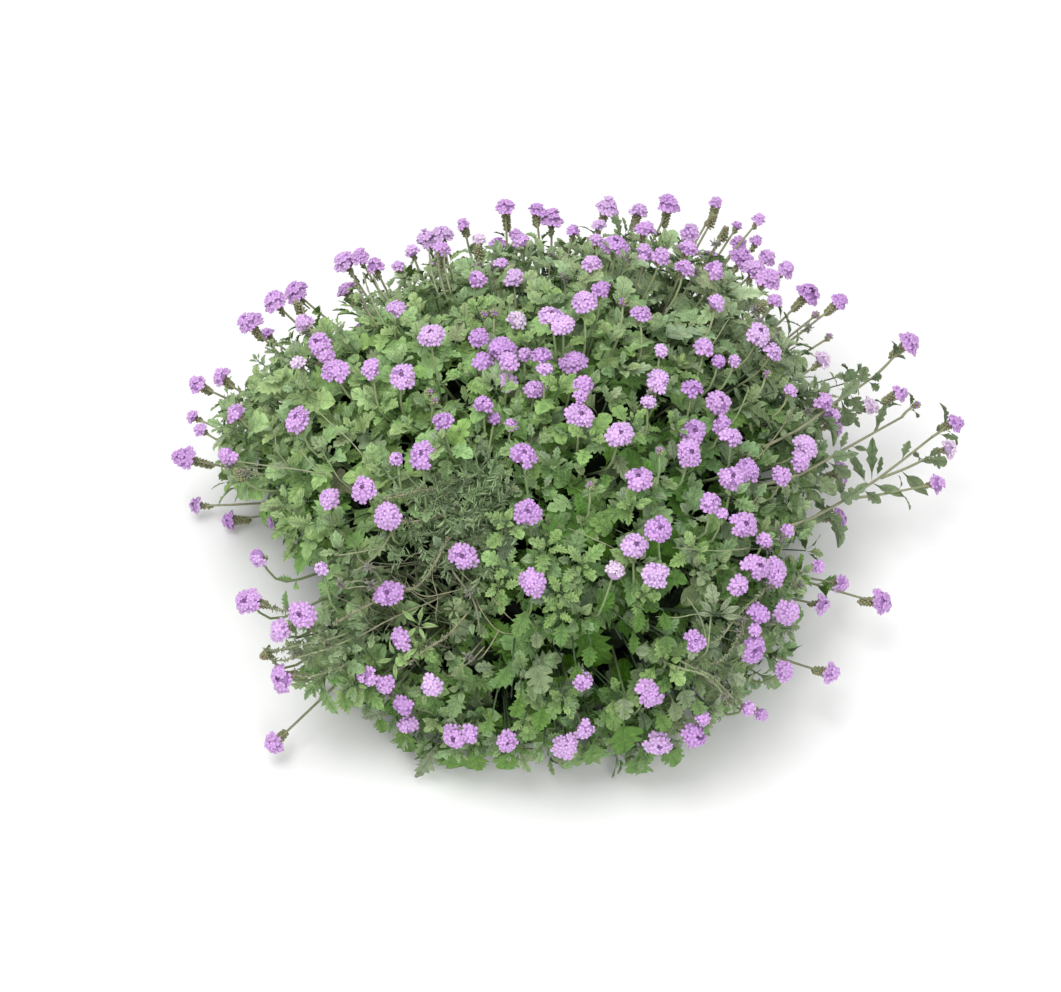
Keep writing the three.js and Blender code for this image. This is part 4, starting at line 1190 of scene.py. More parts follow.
def add_shoot(b, hub, centre, axis, u, v, turn, size, key, pairs, bare=0.0, kept=False, dulled=0.0, lit=0.0):
    """A leafy shoot that ends at centre: a tuft of young leaves over leaf pairs set crosswise."""
    growth = zones(centre)
    way = unit(centre - hub)
    down = unit(axis * 0.6 + way * 0.4)
    droop = 0.35 * max(0.0, 1 - float(axis[2]))
    wide = 0.76 + 0.16 * growth.fresh
    for k in range(pairs + 1):
        back = PAIR_STEP * size * max(0.0, k - 0.35) * (0.85 + 0.3 * draw(key + 40 + k))
        node_at = centre - down * back
        rise = PAIR_RISE[k]
        if k and draw(key + 60 + k) < bare:
            continue
        count = (3 if draw(key + 70) < 0.5 else 4) if k == 0 else 2
        for s in range(count):
            lk = key + 100 * (k + 1) + 24 * s
            a = turn + k * math.pi / 2 + s * TAU / count + 0.55 * (draw(lk + 1) - 0.5)
            out = around(u, v, a)
            along = out + axis * (rise + 0.45 * (draw(lk + 2) - 0.5)) - UP * droop * min(1.0, 0.4 * k)
            normal = unit(axis - out * rise * 0.8 + 0.7 * (draw(lk + 3) - 0.5) * np.cross(axis, out))
            length = size * LEAF_BLADE * PAIR_SPREAD[k] * (0.74 + 0.5 * draw(lk + 4))
            p = node_at + unit(along) * length
            if not kept and (in_gap(p) or in_gap((p + node_at) / 2)):
                continue
            age = min(1.0, PAIR_AGE[k] * (0.85 + 0.3 * draw(lk + 10)))
            tint = mix(leaf_tint(p, age, lk), LEAF_GREY * (1 - 0.3 * age), 0.7 * dulled)
            tint = mix(tint, LEAF_BRIGHT, 0.75 * lit * (1 - 0.6 * age))
            b["leaves"].add(
                node_at, along, normal, length, wide + 0.24 * draw(lk + 11), leaf_kind(p, lk),
                0.08 + 0.1 * min(k, 3) + 0.2 * draw(lk + 12), 0.08 + 0.34 * draw(lk + 13),
                0.6 * (draw(lk + 14) - 0.5), tint, small=k == 0,
            )
    bow = np.cross(way, UP) * 10 * (draw(key + 31) - 0.5) + UP * 6 * draw(key + 32)
    lean = STEM_DRY if draw(key + 33) < 0.02 + 0.5 * growth.dry else LEAF_DEEP
    # The stem runs inside the mound: its tint is darkened as painted shade, more in the deep patch.
    add_stem(b, hub, centre, lean * (0.6 + 0.3 * draw(key + 34)) * (1 - 0.6 * growth.deep), bow)


def hub_of(branch):
    """Where a branch divides into its shoots."""
    return APEX + BRANCH_AXES[branch] * BRANCH_OUT[branch] * 0.56


def rosette_shoots(by_branch):
    """The shoots that grow over the solids' own rosettes."""
    for i, r in enumerate(rosettes):
        add_shoot(
            by_branch[r["branch"]], hub_of(r["branch"]), r["centre"] + r["axis"] * 6, r["axis"],
            r["u"], r["v"], r["turn"], r["size"], ROSETTE_KEYS + i * 1000, 4, kept=not in_gap(r["centre"]),
        )


def tuck_in(direction, out, height):
    """Where a shoot ends once it is drawn back inside the leafy outline, or None."""
    for step in range(6):
        centre = APEX + direction * out * (height - 0.05 * step)
        centre[2] = max(centre[2], LOWEST_SHOOT)
        if inside_by(*sight_place(centre)) > 14:
            return centre
    return None


def foliage(by_branch):
    """The shoots that cover the mound between the rosettes."""
    taken = [r["centre"] for r in rosettes]
    for i, direction in enumerate(spiral(SHOOT_COUNT, 0.0, 1.0)):
        key = SHOOT_KEYS + i * 1000
        direction = unit(direction + 0.05 * scatter(key + 3))
        direction[2] = max(direction[2], 0.0)
        out = canopy(direction[None])[0]
        spot = APEX + direction * out
        if min(np.linalg.norm(spot - q) for q in taken) < 24 or draw(key + 1) < 0.04:
            continue
        growth = zones(spot)
        if draw(key + 11) < 0.12 * growth.dry + 0.08 * growth.deep:
            continue
        edge = 1 - abs(float(normal_at(spot) @ TO_SIGHT))
        low = max(0.0, 1 - spot[2] / 90)
        height = 0.88 + 0.09 * edge + 0.07 * low + 0.1 * draw(key + 2) + lumps(direction) - 0.05 * growth.dry
        centre = tuck_in(direction, out, height)
        if centre is None:
            continue
        branch = nearest_branch(direction)
        axis = normal_at(centre) + UP * (0.15 + 0.4 * draw(key + 6))
        axis = unit(axis + 0.55 * scatter(key + 7) * LEVEL)
        u, v = sideways(axis, tangent_at(direction))
        large = zone(*sight_place(spot), *LARGE_LEAVES)
        size = (0.84 + 0.28 * draw(key + 9)) * (1 + 0.1 * growth.deep + 0.22 * large)
        size = size * (1 - 0.25 * growth.dry) * (1 - 0.3 * growth.feather)
        add_shoot(by_branch[branch], hub_of(branch), centre, axis, u, v, TAU * draw(key + 10), size, key,
                  SHOOT_PAIRS, bare=0.25 * growth.dry + 0.12 * growth.deep * (1 - large))


def place_in(patch, key, spread=1.0):
    """A drawn point of the sight frame, most often near the middle of the patch."""
    x, y, wide, high = patch
    return (x + wide * (draw(key + 1) + draw(key + 2) - 1) * spread,
            y + high * (draw(key + 3) + draw(key + 4) - 1) * spread)


def feathery_shoots(by_branch):
    """The patch of finely cut grey-green foliage."""
    for i in range(FEATHER_COUNT):
        key = FEATHER_KEYS + i * 1000
        spot = on_sight_line(*place_in(FEATHER_PATCH, key), 10)
        spot = APEX + (spot - APEX) * (0.9 + 0.05 * draw(key + 5))
        direction = unit(spot - APEX)
        branch = nearest_branch(direction)
        axis = unit(normal_at(spot) + UP * 0.4 + scatter(key + 6) * LEVEL)
        u, v = sideways(axis, tangent_at(direction))
        add_shoot(by_branch[branch], hub_of(branch), spot, axis, u, v, TAU * draw(key + 8), 0.55, key, 4)


def set_on_sight(x, y, lift):
    """A place on the mound for a point of the sight frame, its branch, outward axis and sideways pair."""
    spot = on_sight_line(x, y, 20)
    spot = APEX + (spot - APEX) * lift
    direction = unit(spot - APEX)
    axis = unit(normal_at(spot) + UP * 0.3)
    return spot, nearest_branch(direction), axis, sideways(axis, tangent_at(direction))


def edge_shoots(by_branch):
    """The shoots that make the leafy outline where it is uneven."""
    for i, (x, y, size, dulled) in enumerate(EDGE_SHOOTS):
        key = EDGE_KEYS + i * 1000
        spot, branch, axis, (u, v) = set_on_sight(x, y, 0.97)
        add_shoot(by_branch[branch], hub_of(branch), spot, axis, u, v, TAU * draw(key + 8), size, key, 3,
                  dulled=dulled)


def bright_shoots(by_branch):
    """The youngest shoots, a clear yellow green."""
    for i, (x, y) in enumerate(BRIGHT_SHOOTS):
        key = BRIGHT_KEYS + i * 1000
        spot, branch, axis, (u, v) = set_on_sight(x, y, 0.975)
        add_shoot(by_branch[branch], hub_of(branch), spot, axis, u, v, TAU * draw(key + 8),
                  0.62 + 0.2 * draw(key + 9), key, 2, kept=True, lit=1.0)


def dried_heads(by_branch):
    """Small fuzzy balls of dried flowers on thin stems."""
    for i, (x, y) in enumerate(TUFTS):
        spot, branch, axis, _ = set_on_sight(x, y, 0.985)
        b = by_branch[branch]
        for k in range(TUFT_HAIRS):
            key = DRIED_KEYS + i * 1000 + k * 10
            way = unit(scatter(key + 1) + axis * 0.15)
            tip = spot + way * (4.5 + 5.0 * draw(key + 4))
            bend = (spot + tip) / 2 + scatter(key + 5) * 2.5
            tone = mix(LITTER_MAUVE, STEM_PALE, draw(key + 8)) * (0.5 + 0.6 * draw(key + 9))
            b["bits"].append((np.array([spot, bend, tip]), 0.95, tone))
        add_stem(b, hub_of(branch), spot, STEM_OLIVE * 0.8, thick=1.5)


def narrow_shoots(by_branch):
    """Shoots whose leaves are narrow and radiate from one point."""
    for i, (x, y, length, count, pale) in enumerate(NARROW_SHOOTS):
        spot, branch, axis, (u, v) = set_on_sight(x, y, 0.97)
        b = by_branch[branch]
        for k in range(count):
            key = NARROW_KEYS + i * 500 + k * 20
            a = TAU * (k + 0.5 * draw(key)) / count
            out = around(u, v, a)
            tone = mix(LEAF_FRESH, STEM_PALE, pale) * (0.85 + 0.25 * draw(key + 1))
            b["leaves"].add(spot, out + axis * (0.25 + 0.5 * draw(key + 2)), unit(axis - out * 0.4),
                            length * (0.7 + 0.5 * draw(key + 3)), 1.0, KIND_LANCE,
                            0.1 + 0.4 * draw(key + 4), 0.3, 0.5 * (draw(key + 5) - 0.5), tone, small=True)
        add_stem(b, hub_of(branch), spot, mix(STEM_GREEN, STEM_PALE, pale), thin=1.1)


def open_stems(by_branch):
    """Single dry or pale stems that lie across the mound, some of them rough with short hairs."""
    tones = {
        "tan": STEM_DRY, "grey": LITTER_GREY, "pale": STEM_PALE, "green": mix(STEM_PALE, STEM_GREEN, 0.4),
    }
    for i, (tone, radius, *line) in enumerate(OPEN_STEMS):
        rough = i in ROUGH_STEMS
        lifted = []
        for x, y in line:
            lift = 1.0 if inside_by(x, y) <= 12 else 0.99 if rough else 0.97
            lifted.append(APEX + (on_sight_line(x, y, 6) - APEX) * lift)
        b = by_branch[nearest_branch(unit(lifted[len(lifted) // 2] - APEX))]
        ends = ((lifted[0], lifted[1]), (lifted[-1], lifted[-2]))
        sunk = [p + unit(p - q) * 16 - unit(p - APEX) * 18 for p, q in ends]
        path = smooth_path([sunk[0], *lifted, sunk[1]], 16, 1)
        wide = radius * (1 + 0.25 * np.sin(np.arange(len(path)) * 2.3 + i))
        b["long"].append((path, wide, tones[tone] * (0.9 + 0.2 * draw(OPEN_KEYS + i))))
        for k in range(ROUGH_HAIRS if rough else 0):
            key = ROUGH_KEYS + i * 1000 + k * 10
            foot, way = along_path(path, 0.1 + 0.8 * draw(key))
            tip = foot + unit(unit(scatter(key + 1)) + way * 0.6) * (2.5 + 3.5 * draw(key + 4))
            tint = mix(LITTER_GREY, STEM_PALE, draw(key + 5)) * (0.6 + 0.6 * draw(key + 6))
            b["bits"].append((np.array([foot, (foot + tip) / 2 + UP * 0.3, tip]), 0.85, tint))


def fronds(by_branch):
    """Finely divided grey-green leaves: a thin bowed rib with narrow segments that point unevenly."""
    for i in range(FROND_COUNT):
        key = FROND_KEYS + i * 1000
        spot, branch, axis, (u, v) = set_on_sight(*place_in(FROND_PATCH, key), 0.92 + 0.07 * draw(key + 5))
        along = unit(around(u, v, TAU * draw(key + 6)) + axis * (0.1 + 0.7 * draw(key + 7)))
        side = unit(np.cross(axis, along))
        long = 16 + 18 * draw(key + 8)
        tone = mix(LEAF_GREY, LEAF_MIDDLE, 0.35 + 0.65 * draw(key + 9)) * (0.62 + 0.5 * draw(key + 10))
        bits = by_branch[branch]["bits"]
        bow = side * (0.8 * (draw(key + 11) - 0.5)) - axis * 0.3
        rib = [spot + along * long * t + bow * long * t * t for t in (0, 0.5, 1)]
        bits.append((np.array(rib), 0.6, tone * 1.1))
        for s in range(10):
            lk = key + 20 + 10 * s
            share = 0.1 + 0.9 * draw(lk + 3)
            foot = spot + along * long * share + bow * long * share * share
            lean = (1 if s % 2 else -1) * (0.25 + 0.9 * draw(lk + 4))
            way = unit(along + side * lean + axis * 1.2 * (draw(lk) - 0.4))
            tip = foot + way * long * (0.2 + 0.32 * draw(lk + 1))
            bend = (foot + tip) / 2 + side * (draw(lk + 5) - 0.5) * 2.5
            bits.append((np.array([foot, bend, tip]), 0.5 + 0.7 * draw(lk + 6),
                         tone * (0.75 + 0.5 * draw(lk + 2))))


def single_leaves(by_branch):
    """Single leaves that hang or lie at the foot of the mound, set from stalk to tip."""
    tones = {"grey": LEAF_GREY * 0.75, "pale": mix(LEAF_MIDDLE, LEAF_GREY, 0.5), "hairy": LEAF_GREY * 0.86}
    ages = {"deep": 1.0, "middle": 0.8, "bright": 0.3}
    for i, (x0, y0, x1, y1, wide, kind, tone) in enumerate(SINGLE_LEAVES):
        foot, branch, axis, _ = set_on_sight(x0, y0, 0.99)
        tip = on_sight_line(x1, y1, 8)
        b = by_branch[branch]
        key = SINGLE_KEYS + i * 20
        if tone in tones:
            tint = tones[tone]
        else:
            tint = mix(leaf_tint(foot, ages[tone], key), LEAF_GREY * (0.85 - 0.4 * ages[tone]), 0.32)
        tilt = scatter(key + 1)
        length = np.linalg.norm(tip - foot) / LEAF_CHORD
        b["leaves"].add(
            foot, tip - foot, unit(TO_SIGHT + 0.3 * axis + 0.7 * tilt), length, wide, kind,
            0.05 + 0.15 * draw(key + 4), 0.12 + 0.2 * draw(key + 8), 0.5 * (draw(key + 10) - 0.5),
            tint, small=kind == KIND_LANCE,
        )
        add_stem(b, hub_of(branch), foot + unit(tip - foot) * 3, LEAF_DEEP * 0.5)


def straggly_stems(by_branch):
    """The open patch at the front left, where bare dry stems cross each other."""
    for i in range(STRAGGLE_COUNT):
        key = STRAGGLE_KEYS + i * 100
        x, y = place_in(STRAGGLE_PATCH, key, 1.3)
        a = math.pi * (0.62 + 0.5 * (draw(key + 5) - 0.5)) + (0.9 if draw(key + 6) < 0.35 else 0)
        long = 14 + 26 * draw(key + 7)
        square = a + math.pi / 2
        across = np.array([-math.cos(square), math.sin(square)]) * 9 * (draw(key + 8) - 0.5) * 2
        ends = []
        for t in (-1, 0, 1):
            px = x + t * long * math.cos(a) + across[0] * (t == 0)
            py = y - t * long * math.sin(a) * 0.8 + across[1] * (t == 0)
            if inside_by(px, py) < 4:
                px, py = x + 0.3 * (px - x), y + 0.3 * (py - y)
            p = on_sight_line(px, py, 6)
            ends.append(APEX + (p - APEX) * (0.85 + 0.08 * draw(key + 9 + t) + 0.03 * (t == 0)))
        b = by_branch[nearest_branch(unit(ends[1] - APEX))]
        b["paths"].append(smooth_path(ends, STEM_POINTS, 1))
        b["radii"].append(np.linspace(0.8, 0.5, STEM_POINTS) * (0.6 + 0.7 * draw(key + 10)))
        tone = mix(mix(LITTER_GREY, STEM_OLIVE, draw(key + 11)), LITTER_DARK, draw(key + 13))
        b["tints"].append(tone * (0.75 + 0.5 * draw(key + 12)))
        for s in range(2):
            lk = key + 20 + 10 * s
            p = ends[2 * s] - unit(ends[2 * s] - APEX) * 6 * draw(lk)
            way = scatter(lk + 1)
            tint = mix(LITTER_DARK, LEAF_MIDDLE, draw(lk + 7)) * (0.5 + 0.6 * draw(lk + 8))
            b["leaves"].add(p, way, normal_at(p) + way[::-1], 9 + 12 * draw(lk + 4), 0.8, KIND_LANCE,
                            0.9 * draw(lk + 5), 0.6, 1.5 * (draw(lk + 6) - 0.5), tint, small=True)


def inner_leaves(branch, leaves):
    """The crowded leaves deep inside the branch, tinted near black as painted shade, less so in the dull
    patches.
    """
    axis = BRANCH_AXES[branch]
    u, v = sideways(axis, tangent_at(axis))
    for i in range(INNER_COUNT):
        key = INNER_KEYS + branch * 1000 + i * 20
        out = around(u, v, TAU * draw(key + 1))
        direction = unit(axis + 0.19 * math.sqrt(draw(key + 2)) * out)
        p = APEX + direction * canopy(direction[None])[0] * (0.6 + 0.14 * draw(key + 3))
        p[2] = max(p[2], LOWEST_SHOOT)
        along = unit(out + direction * (0.2 + 0.8 * draw(key + 4)))
        dull = zones(p).dull
        tint = mix(LEAF_DEEP, LEAF_MIDDLE, dull)
        # Near black as painted shade, lifted towards real leaf colour in the dull patches.
        tint = mix(LEAF_PAINTED_SHADE, tint, min(1.0, 0.2 * draw(key + 9) + 0.95 * dull))
        leaves.add(p, along, unit(direction - out * 0.3), 37 * (0.8 + 0.4 * draw(key + 5)), 1.05, KIND_LOBED,
                   0.3 * draw(key + 6), 0.3 * draw(key + 7), 0.6 * (draw(key + 8) - 0.5), tint, small=True)


# ---------------------------------------------------------------- flower heads
FLORET_RINGS = {
    "full": [(10, 0.66, 0.0, 0.95), (7, 0.44, 0.26, 0.5), (3, 0.19, 0.38, 0.2)],
    "half": [(7, 0.58, 0.04, 0.95), (4, 0.32, 0.30, 0.45)],
    "small": [(5, 0.47, 0.12, 0.9), (2, 0.22, 0.34, 0.3)],
}
SPIKE_COUNT = {"full": 14, "half": 13, "small": 10, "bud": 6, "spent": 0}
SPIKE_LENGTH = (0.95, 1.35, 2.2)
SPIKE_TURN = 2.4
BUD_COUNT, HUSK_COUNT = 12, 44
HeadRows = namedtuple("HeadRows", "florets calyces buds cushions")


def floret_places(head):
    """Where the florets of a head sit: centre, facing, size."""
    r = head["size"] / 2
    u, v = sideways(head["axis"], tangent_at(head["away"]))
    found = []
    long_way = math.pi * draw(head["key"] * 31 + 7)
    edge = 0.0 if head["back"] else 1 - facing_sight(head)
    squeeze = 0.04 + 0.16 * draw(head["key"] * 31 + 8)
    for j, (count, share, height, tilt) in enumerate(FLORET_RINGS[head["kind"]]):
        start = TAU * draw(head["key"] * 31 + j)
        if j == 2 and draw(head["key"] * 31 + 9) < 0.65:
            continue
        for i in range(count):
            key = FLORET_KEYS + head["key"] * 500 + j * 100 + i
            a = start + TAU * (i + 0.4 * (draw(key) - 0.5)) / count
            out = around(u, v, a)
            away = r * share * (0.84 + 0.26 * draw(key + 50000) + squeeze * math.cos(2 * (a - long_way)))
            away *= 1 + 0.03 * edge
            lift = r * (height * (1 + 0.7 * edge) + 0.16 * (draw(key + 60000) - 0.5))
            at = head["at"] + out * away + head["axis"] * lift
            facing = unit(head["axis"] + out * tilt * (0.7 + 0.6 * draw(key + 70000)))
            size = PETAL_REACH * (0.82 + 0.36 * draw(key + 80000))
            size *= 0.9 if head["kind"] == "small" else 1 - 0.1 * j
            size *= 1 + 0.05 * edge
            sparse = max(0.0, math.cos(a - head["key"]) - 0.3)
            dropped = 0.02 + 0.2 * sparse if head["kind"] == "full" else 0.05 + 0.7 * sparse
            if draw(key + 90000) < dropped + (0.8 * sparse if head["faded"] else 0):
                continue
            found.append((at, facing, size, key))
    return found


def old_calyces(head, u, v, key, calyces):
    """The calyces below the florets: a long spike of them where the head has bloomed for a while."""
    r = head["size"] / 2
    spikes = SPIKE_COUNT[head["kind"]]
    if head["long_spike"]:
        spikes += 14 * (1 + head["long_spike"])
    for i in range(spikes):
        out = around(u, v, i * SPIKE_TURN + draw(key))
        share = (i + 0.5) / spikes
        foot = head["at"] - head["axis"] * r * (0.5 + SPIKE_LENGTH[head["long_spike"]] * share)
        tip = foot + head["axis"] * 4.6 + out * ((6.0 if head["long_spike"] else 4.6) - 2.0 * share)
        tone = mix(CALYX_GREEN, CALYX_BROWN, draw(key + 20 + i))
        calyces.append((foot, tip, 2.0, tone * (0.85 + 0.45 * draw(key + 50 + i))))


def open_head(head, base, u, v, key, rows):
    """Florets round a middle of closed buds, over a soft cushion."""
    r = head["size"] / 2
    axis = head["axis"]
    pick = draw(key + 2)
    other = PETAL_LIGHT if pick < 0.35 else PETAL_VIOLET if pick < 0.7 else PETAL_LILAC
    petal = PETAL_FADED if head["faded"] else mix(PETAL_LILAC, other, 0.7 * draw(key + 1))
    for at, facing, size, k in floret_places(head):
        rows.florets.append((at, facing, size, petal * (0.88 + 0.22 * draw(k + 1)), TAU * draw(k + 2)))
        if k % 500 < 100:
            tone = CALYX_GREEN * (0.8 + 0.4 * draw(k + 3))
            rows.calyces.append((base, at - facing * size * 0.8, 1.5, tone))
    tone = petal * CUSHION / PETAL_LILAC
    rows.cushions.append((head["at"] + axis * r * 0.02, axis, r * 0.62, r * 0.34, tone))
    for i in range(5):
        at = head["at"] + axis * r * 0.38 + around(u, v, TAU * i / 5 + draw(key + 3)) * 0.09 * r
        rows.buds.append((at, axis, 1.0, 1.7, mix(EYE_DARK, PETAL_VIOLET, 0.4 * draw(key + 5 + i))))


def closed_head(head, base, u, v, key, rows):
    """A round head of buds."""
    for i in range(BUD_COUNT):
        rise = 1 - (i + 0.5) / BUD_COUNT * 1.25
        out = around(u, v, i * SPIKE_TURN)
        way = unit(head["axis"] * rise + out * math.sqrt(max(0.0, 1 - rise * rise)))
        at = head["at"] + way * (head["size"] / 2) * 0.55
        tone = CALYX_GREEN if i % 3 else PETAL_VIOLET * 0.8
        rows.calyces.append((base, at, 1.2, CALYX_GREEN))
        rows.buds.append((at, way, 1.5, 2.6, tone * (0.9 + 0.3 * draw(key + 4 + i))))


def spent_head(head, base, u, v, key, rows):
    """A spike of empty calyces."""
    r = head["size"] / 2
    axis = head["axis"]
    for i in range(HUSK_COUNT):
        rise = (i + 0.5) / HUSK_COUNT
        foot = base + axis * r * (2.2 * rise - 0.5)
        tip = foot + axis * r * 0.35 + around(u, v, i * SPIKE_TURN) * r * (0.85 - 0.5 * rise)
        tone = CALYX_BROWN if draw(key + 40 + i) < 0.5 else CALYX_GREEN
        rows.calyces.append((foot, tip, 1.6, tone * (0.85 + 0.4 * draw(key + 60 + i))))


def flower_head(head, rows):
    """Adds one head to the rows: its florets, calyces, buds and the soft middle under them."""
    key = FLOWER_KEYS + head["key"] * 100
    u, v = sideways(head["axis"], tangent_at(head["away"]))
    base = head["at"] - head["axis"] * (head["size"] / 2) * 0.75
    old_calyces(head, u, v, key, rows.calyces)
    build = {"bud": closed_head, "spent": spent_head}.get(head["kind"], open_head)
    build(head, base, u, v, key, rows)


SIGHT_DOWN = np.array([0.0, -math.sin(SIGHT_ELEVATION), -math.cos(SIGHT_ELEVATION)])


def facing_sight(head):
    """How squarely the mound faces the sight line where the head stands, from 0 to 1."""
    return min(1.0, max(0.0, 1.6 * float(normal_at(head["at"]) @ TO_SIGHT) - 0.5))


def stalk_path(head):
    """The stalk of a head, from its branch's hub or a joint of its shoot, and how far it has to reach."""
    neck = head["at"] - head["axis"] * 0.42 * head["size"]
    end = head["at"] - head["axis"] * head["size"] * 0.2
    if head["borne"]:
        name, joint = head["borne"]
        root = sprays[name]["joints"][joint]
        side = unit(np.cross(neck - root, UP)) * 5 * (draw(head["key"]) - 0.5)
        bow = (root + neck) / 2 + side - UP * 0.06 * np.linalg.norm(neck - root)
        return smooth_path([root, bow, neck, end], 8, 1), 0.0
    root = root_of(head["away"], head["branch"], 0.7)
    length = np.linalg.norm(neck - root)
    hub = hub_of(head["branch"])
    front = facing_sight(head)
    if length > LONG_STALK:
        sag = 0.07 if draw(head["key"] * 13 + 8801) < 0.4 else -0.02
        bow = root + (neck - root) * 0.55 + UP * sag * length
        return smooth_path([hub, root, bow, neck, end], 10), length
    out = normal_at(head["at"])
    slope = unit(SIGHT_DOWN - out * float(SIGHT_DOWN @ out) - out * 0.42)
    slope = unit(slope + np.cross(out, slope) * 0.5 * (draw(head["key"] * 13 + 8802) - 0.5))
    low = neck + slope * front * (24 + 46 * draw(head["key"] * 13 + 8803))
    bow = unit(np.cross(neck - root, UP)) * 9 * (draw(head["key"] * 13 + 8800) - 0.5) - head["axis"] * 4
    return smooth_path([hub, root, (root + low) / 2 + bow, low, neck, end], 12), length


def stack(rows, i):
    """One column of a list of rows as an array."""
    return np.array([row[i] for row in rows], dtype=float)


def gather_heads(mine, gather):
    """Builds the heads of one branch from copies of the modelled shapes."""
    rows = HeadRows([], [], [], [])
    for head in mine:
        flower_head(head, rows)
    if rows.florets:
        at, facing, size, tint, turn = (stack(rows.florets, i) for i in range(5))
        u0, v0 = sides_of(facing)
        u = u0 * np.cos(turn)[:, None] + v0 * np.sin(turn)[:, None]
        v = np.cross(facing, u)
        scale = np.stack([size, size, size], axis=-1)
        points, faces = FLORET
        uv = np.stack([np.hypot(points[:, 0], points[:, 1]), points[:, 2] * 0 + 0.5], axis=-1)
        uv[points[:, 2] < -0.5] = (0.3, 0.5)
        gather.add(copies_of(FLORET, at, u, v, facing, scale), faces, uv, tint, 0)
    if rows.calyces:
        foot, tip, thick, tint = (stack(rows.calyces, i) for i in range(4))
        long = np.linalg.norm(tip - foot, axis=1)
        add_upright(gather, CALYX, foot, unit(tip - foot), thick, long, tint)
    for shape, found in ((BUD, rows.buds), (DOME, rows.cushions)):
        if found:
            add_upright(gather, shape, *(stack(found, i) for i in range(5)))


def add_upright(gather, shape, at, w, wide, long, tint):
    """Copies of a shape that is as wide both ways, its z along w."""
    u, v = sides_of(w)
    scale = np.stack([wide, wide, long], axis=-1)
    gather.add(copies_of(shape, at, u, v, w, scale), shape[1], flat_map(shape[0]), tint, 1)


# ---------------------------------------------------------------- putting each branch together
def stalk_leaves(b, path, shares, key, size, turn, curl=0.0):
    """Leaf pairs along a stalk."""
    for j, share in enumerate(shares):
        node_at, way = along_path(path, share)
        u, v = sideways(way, tangent_at(way))
        for s in range(2):
            lk = key + 20 * j + 9 * s
            a = turn + j * math.pi / 2 + s * math.pi + 0.5 * (draw(lk) - 0.5)
            out = around(u, v, a)
            along = unit(out + way * 0.7 - UP * curl * draw(lk + 1))
            kind = (KIND_WEDGE if draw(lk + 7) < 0.6 else KIND_LOBED) if curl else leaf_kind(node_at, lk)
            tint = leaf_tint(node_at, 0.55 + 0.3 * draw(lk + 2), lk)
            if curl:
                tint = mix(LEAF_GREY, LEAF_DEEP, 0.3 + 0.3 * draw(lk + 8)) * (0.72 + 0.2 * draw(lk + 9))
            b["leaves"].add(
                node_at, along, unit(way - out * 0.5 + UP * 0.3), size * (0.75 + 0.5 * draw(lk + 3)),
                0.9 - 0.2 * (curl > 0), kind, 0.15 + 0.4 * draw(lk + 4) + 0.4 * curl,
                0.2 + 0.4 * draw(lk + 5), (0.3 + 1.6 * curl) * (draw(lk + 6) - 0.5), tint,
            )


def spray_leaves(by_branch):
    """The leaves of the shoots beyond the mound, each on the stem that is nearest to its stalk."""
    stems = [(spray["branch"], spray_path(spray)) for spray in sprays.values()]
    stems += [(head["branch"], stalk_path(head)[0]) for head in heads if head["borne"]]
    shares = np.linspace(0.3, 0.98, 40)
    owners = np.repeat([branch for branch, _ in stems], len(shares))
    feet = np.array([along_path(path, share)[0] for _, path in stems for share in shares])
    feet_x, feet_y = sight_place(feet)
    for i, (x0, y0, x1, y1, wide, kind) in enumerate(SPRAY_LEAVES):
        key = SPRAY_LEAF_KEYS + i * 20
        k = int(np.argmin((feet_x - x0) ** 2 + (feet_y - y0) ** 2))
        step = SIGHT_STEP * ((EYE - feet[k]) @ TO_SIGHT) / SIGHT_DISTANCE
        reach_out = step * (np.array([x1 - feet_x[k], 0, 0]) + SIGHT_DOWN * (y1 - feet_y[k]))
        tilt = scatter(key + 1)
        tone = mix(LEAF_OLIVE, LEAF_DEEP, 0.3 + 0.4 * draw(key + 4)) * (0.56 + 0.24 * draw(key + 5))
        by_branch[owners[k]]["leaves"].add(
            feet[k], reach_out + TO_SIGHT * 14 * (draw(key + 6) - 0.5), unit(TO_SIGHT + 0.9 * tilt),
            np.linalg.norm(reach_out) / LEAF_CHORD, wide, kind, 0.2 * (draw(key + 7) - 0.3),
            0.1 + 0.3 * draw(key + 8), 0.6 * (draw(key + 9) - 0.5), tone,
            small=kind in (KIND_CUT, KIND_TOOTHED),
        )


def spray_path(spray):
    return smooth_path([hub_of(spray["branch"]), spray["root"], *spray["joints"]], 12, 1)


def spray_shoots(by_branch):
    """The stems of the shoots beyond the mound, with the leaf pairs near their feet."""
    for i, spray in enumerate(sprays.values()):
        b = by_branch[spray["branch"]]
        path = spray_path(spray)
        b["long"].append((path, np.linspace(2.3, 1.5, len(path)), STEM_OLIVE))
        shares, size, curl = ([0.55, 0.63], 31, 0.8) if i < 2 else ([0.6, 0.72], 34, 0.4)
        stalk_leaves(b, path, shares, SPRAY_KEYS + i * 1000, size, 0.6, curl)


def head_stalks(b, mine):
    """The stalks of a branch's heads, with their own leaf pairs."""
    for head in mine:
        path, length = stalk_path(head)
        key = STALK_KEYS + head["key"] * 100
        green = mix(STEM_OLIVE, STEM_GREEN, 0.15 if head["borne"] else facing_sight(head))
        dried = draw(key) < 0.02 + 0.2 * zones(head["at"]).dry
        tone = (STEM_DRY if dried else green) * (0.85 + 0.3 * draw(key + 1))
        b["long"].append((path, np.linspace(1.9, 1.4, len(path)), tone))
        if head["borne"]:
            shares, size, curl = [0.6], 20, 0.3
        elif length > LONG_STALK:
            shares, size, curl = [0.5, 0.7], 26, 0.0
        elif not head["back"] and facing_sight(head) < 0.35 and head["at"][2] > 150:
            shares, size, curl = [0.70, 0.82], 13 + 7 * draw(key + 4), 0.0
        elif draw(key + 2) < 0.5:
            shares, size, curl = [0.66], 22, 0.0
        else:
            continue
        stalk_leaves(b, path, shares, key + 3, size, TAU * draw(key + 2), curl)


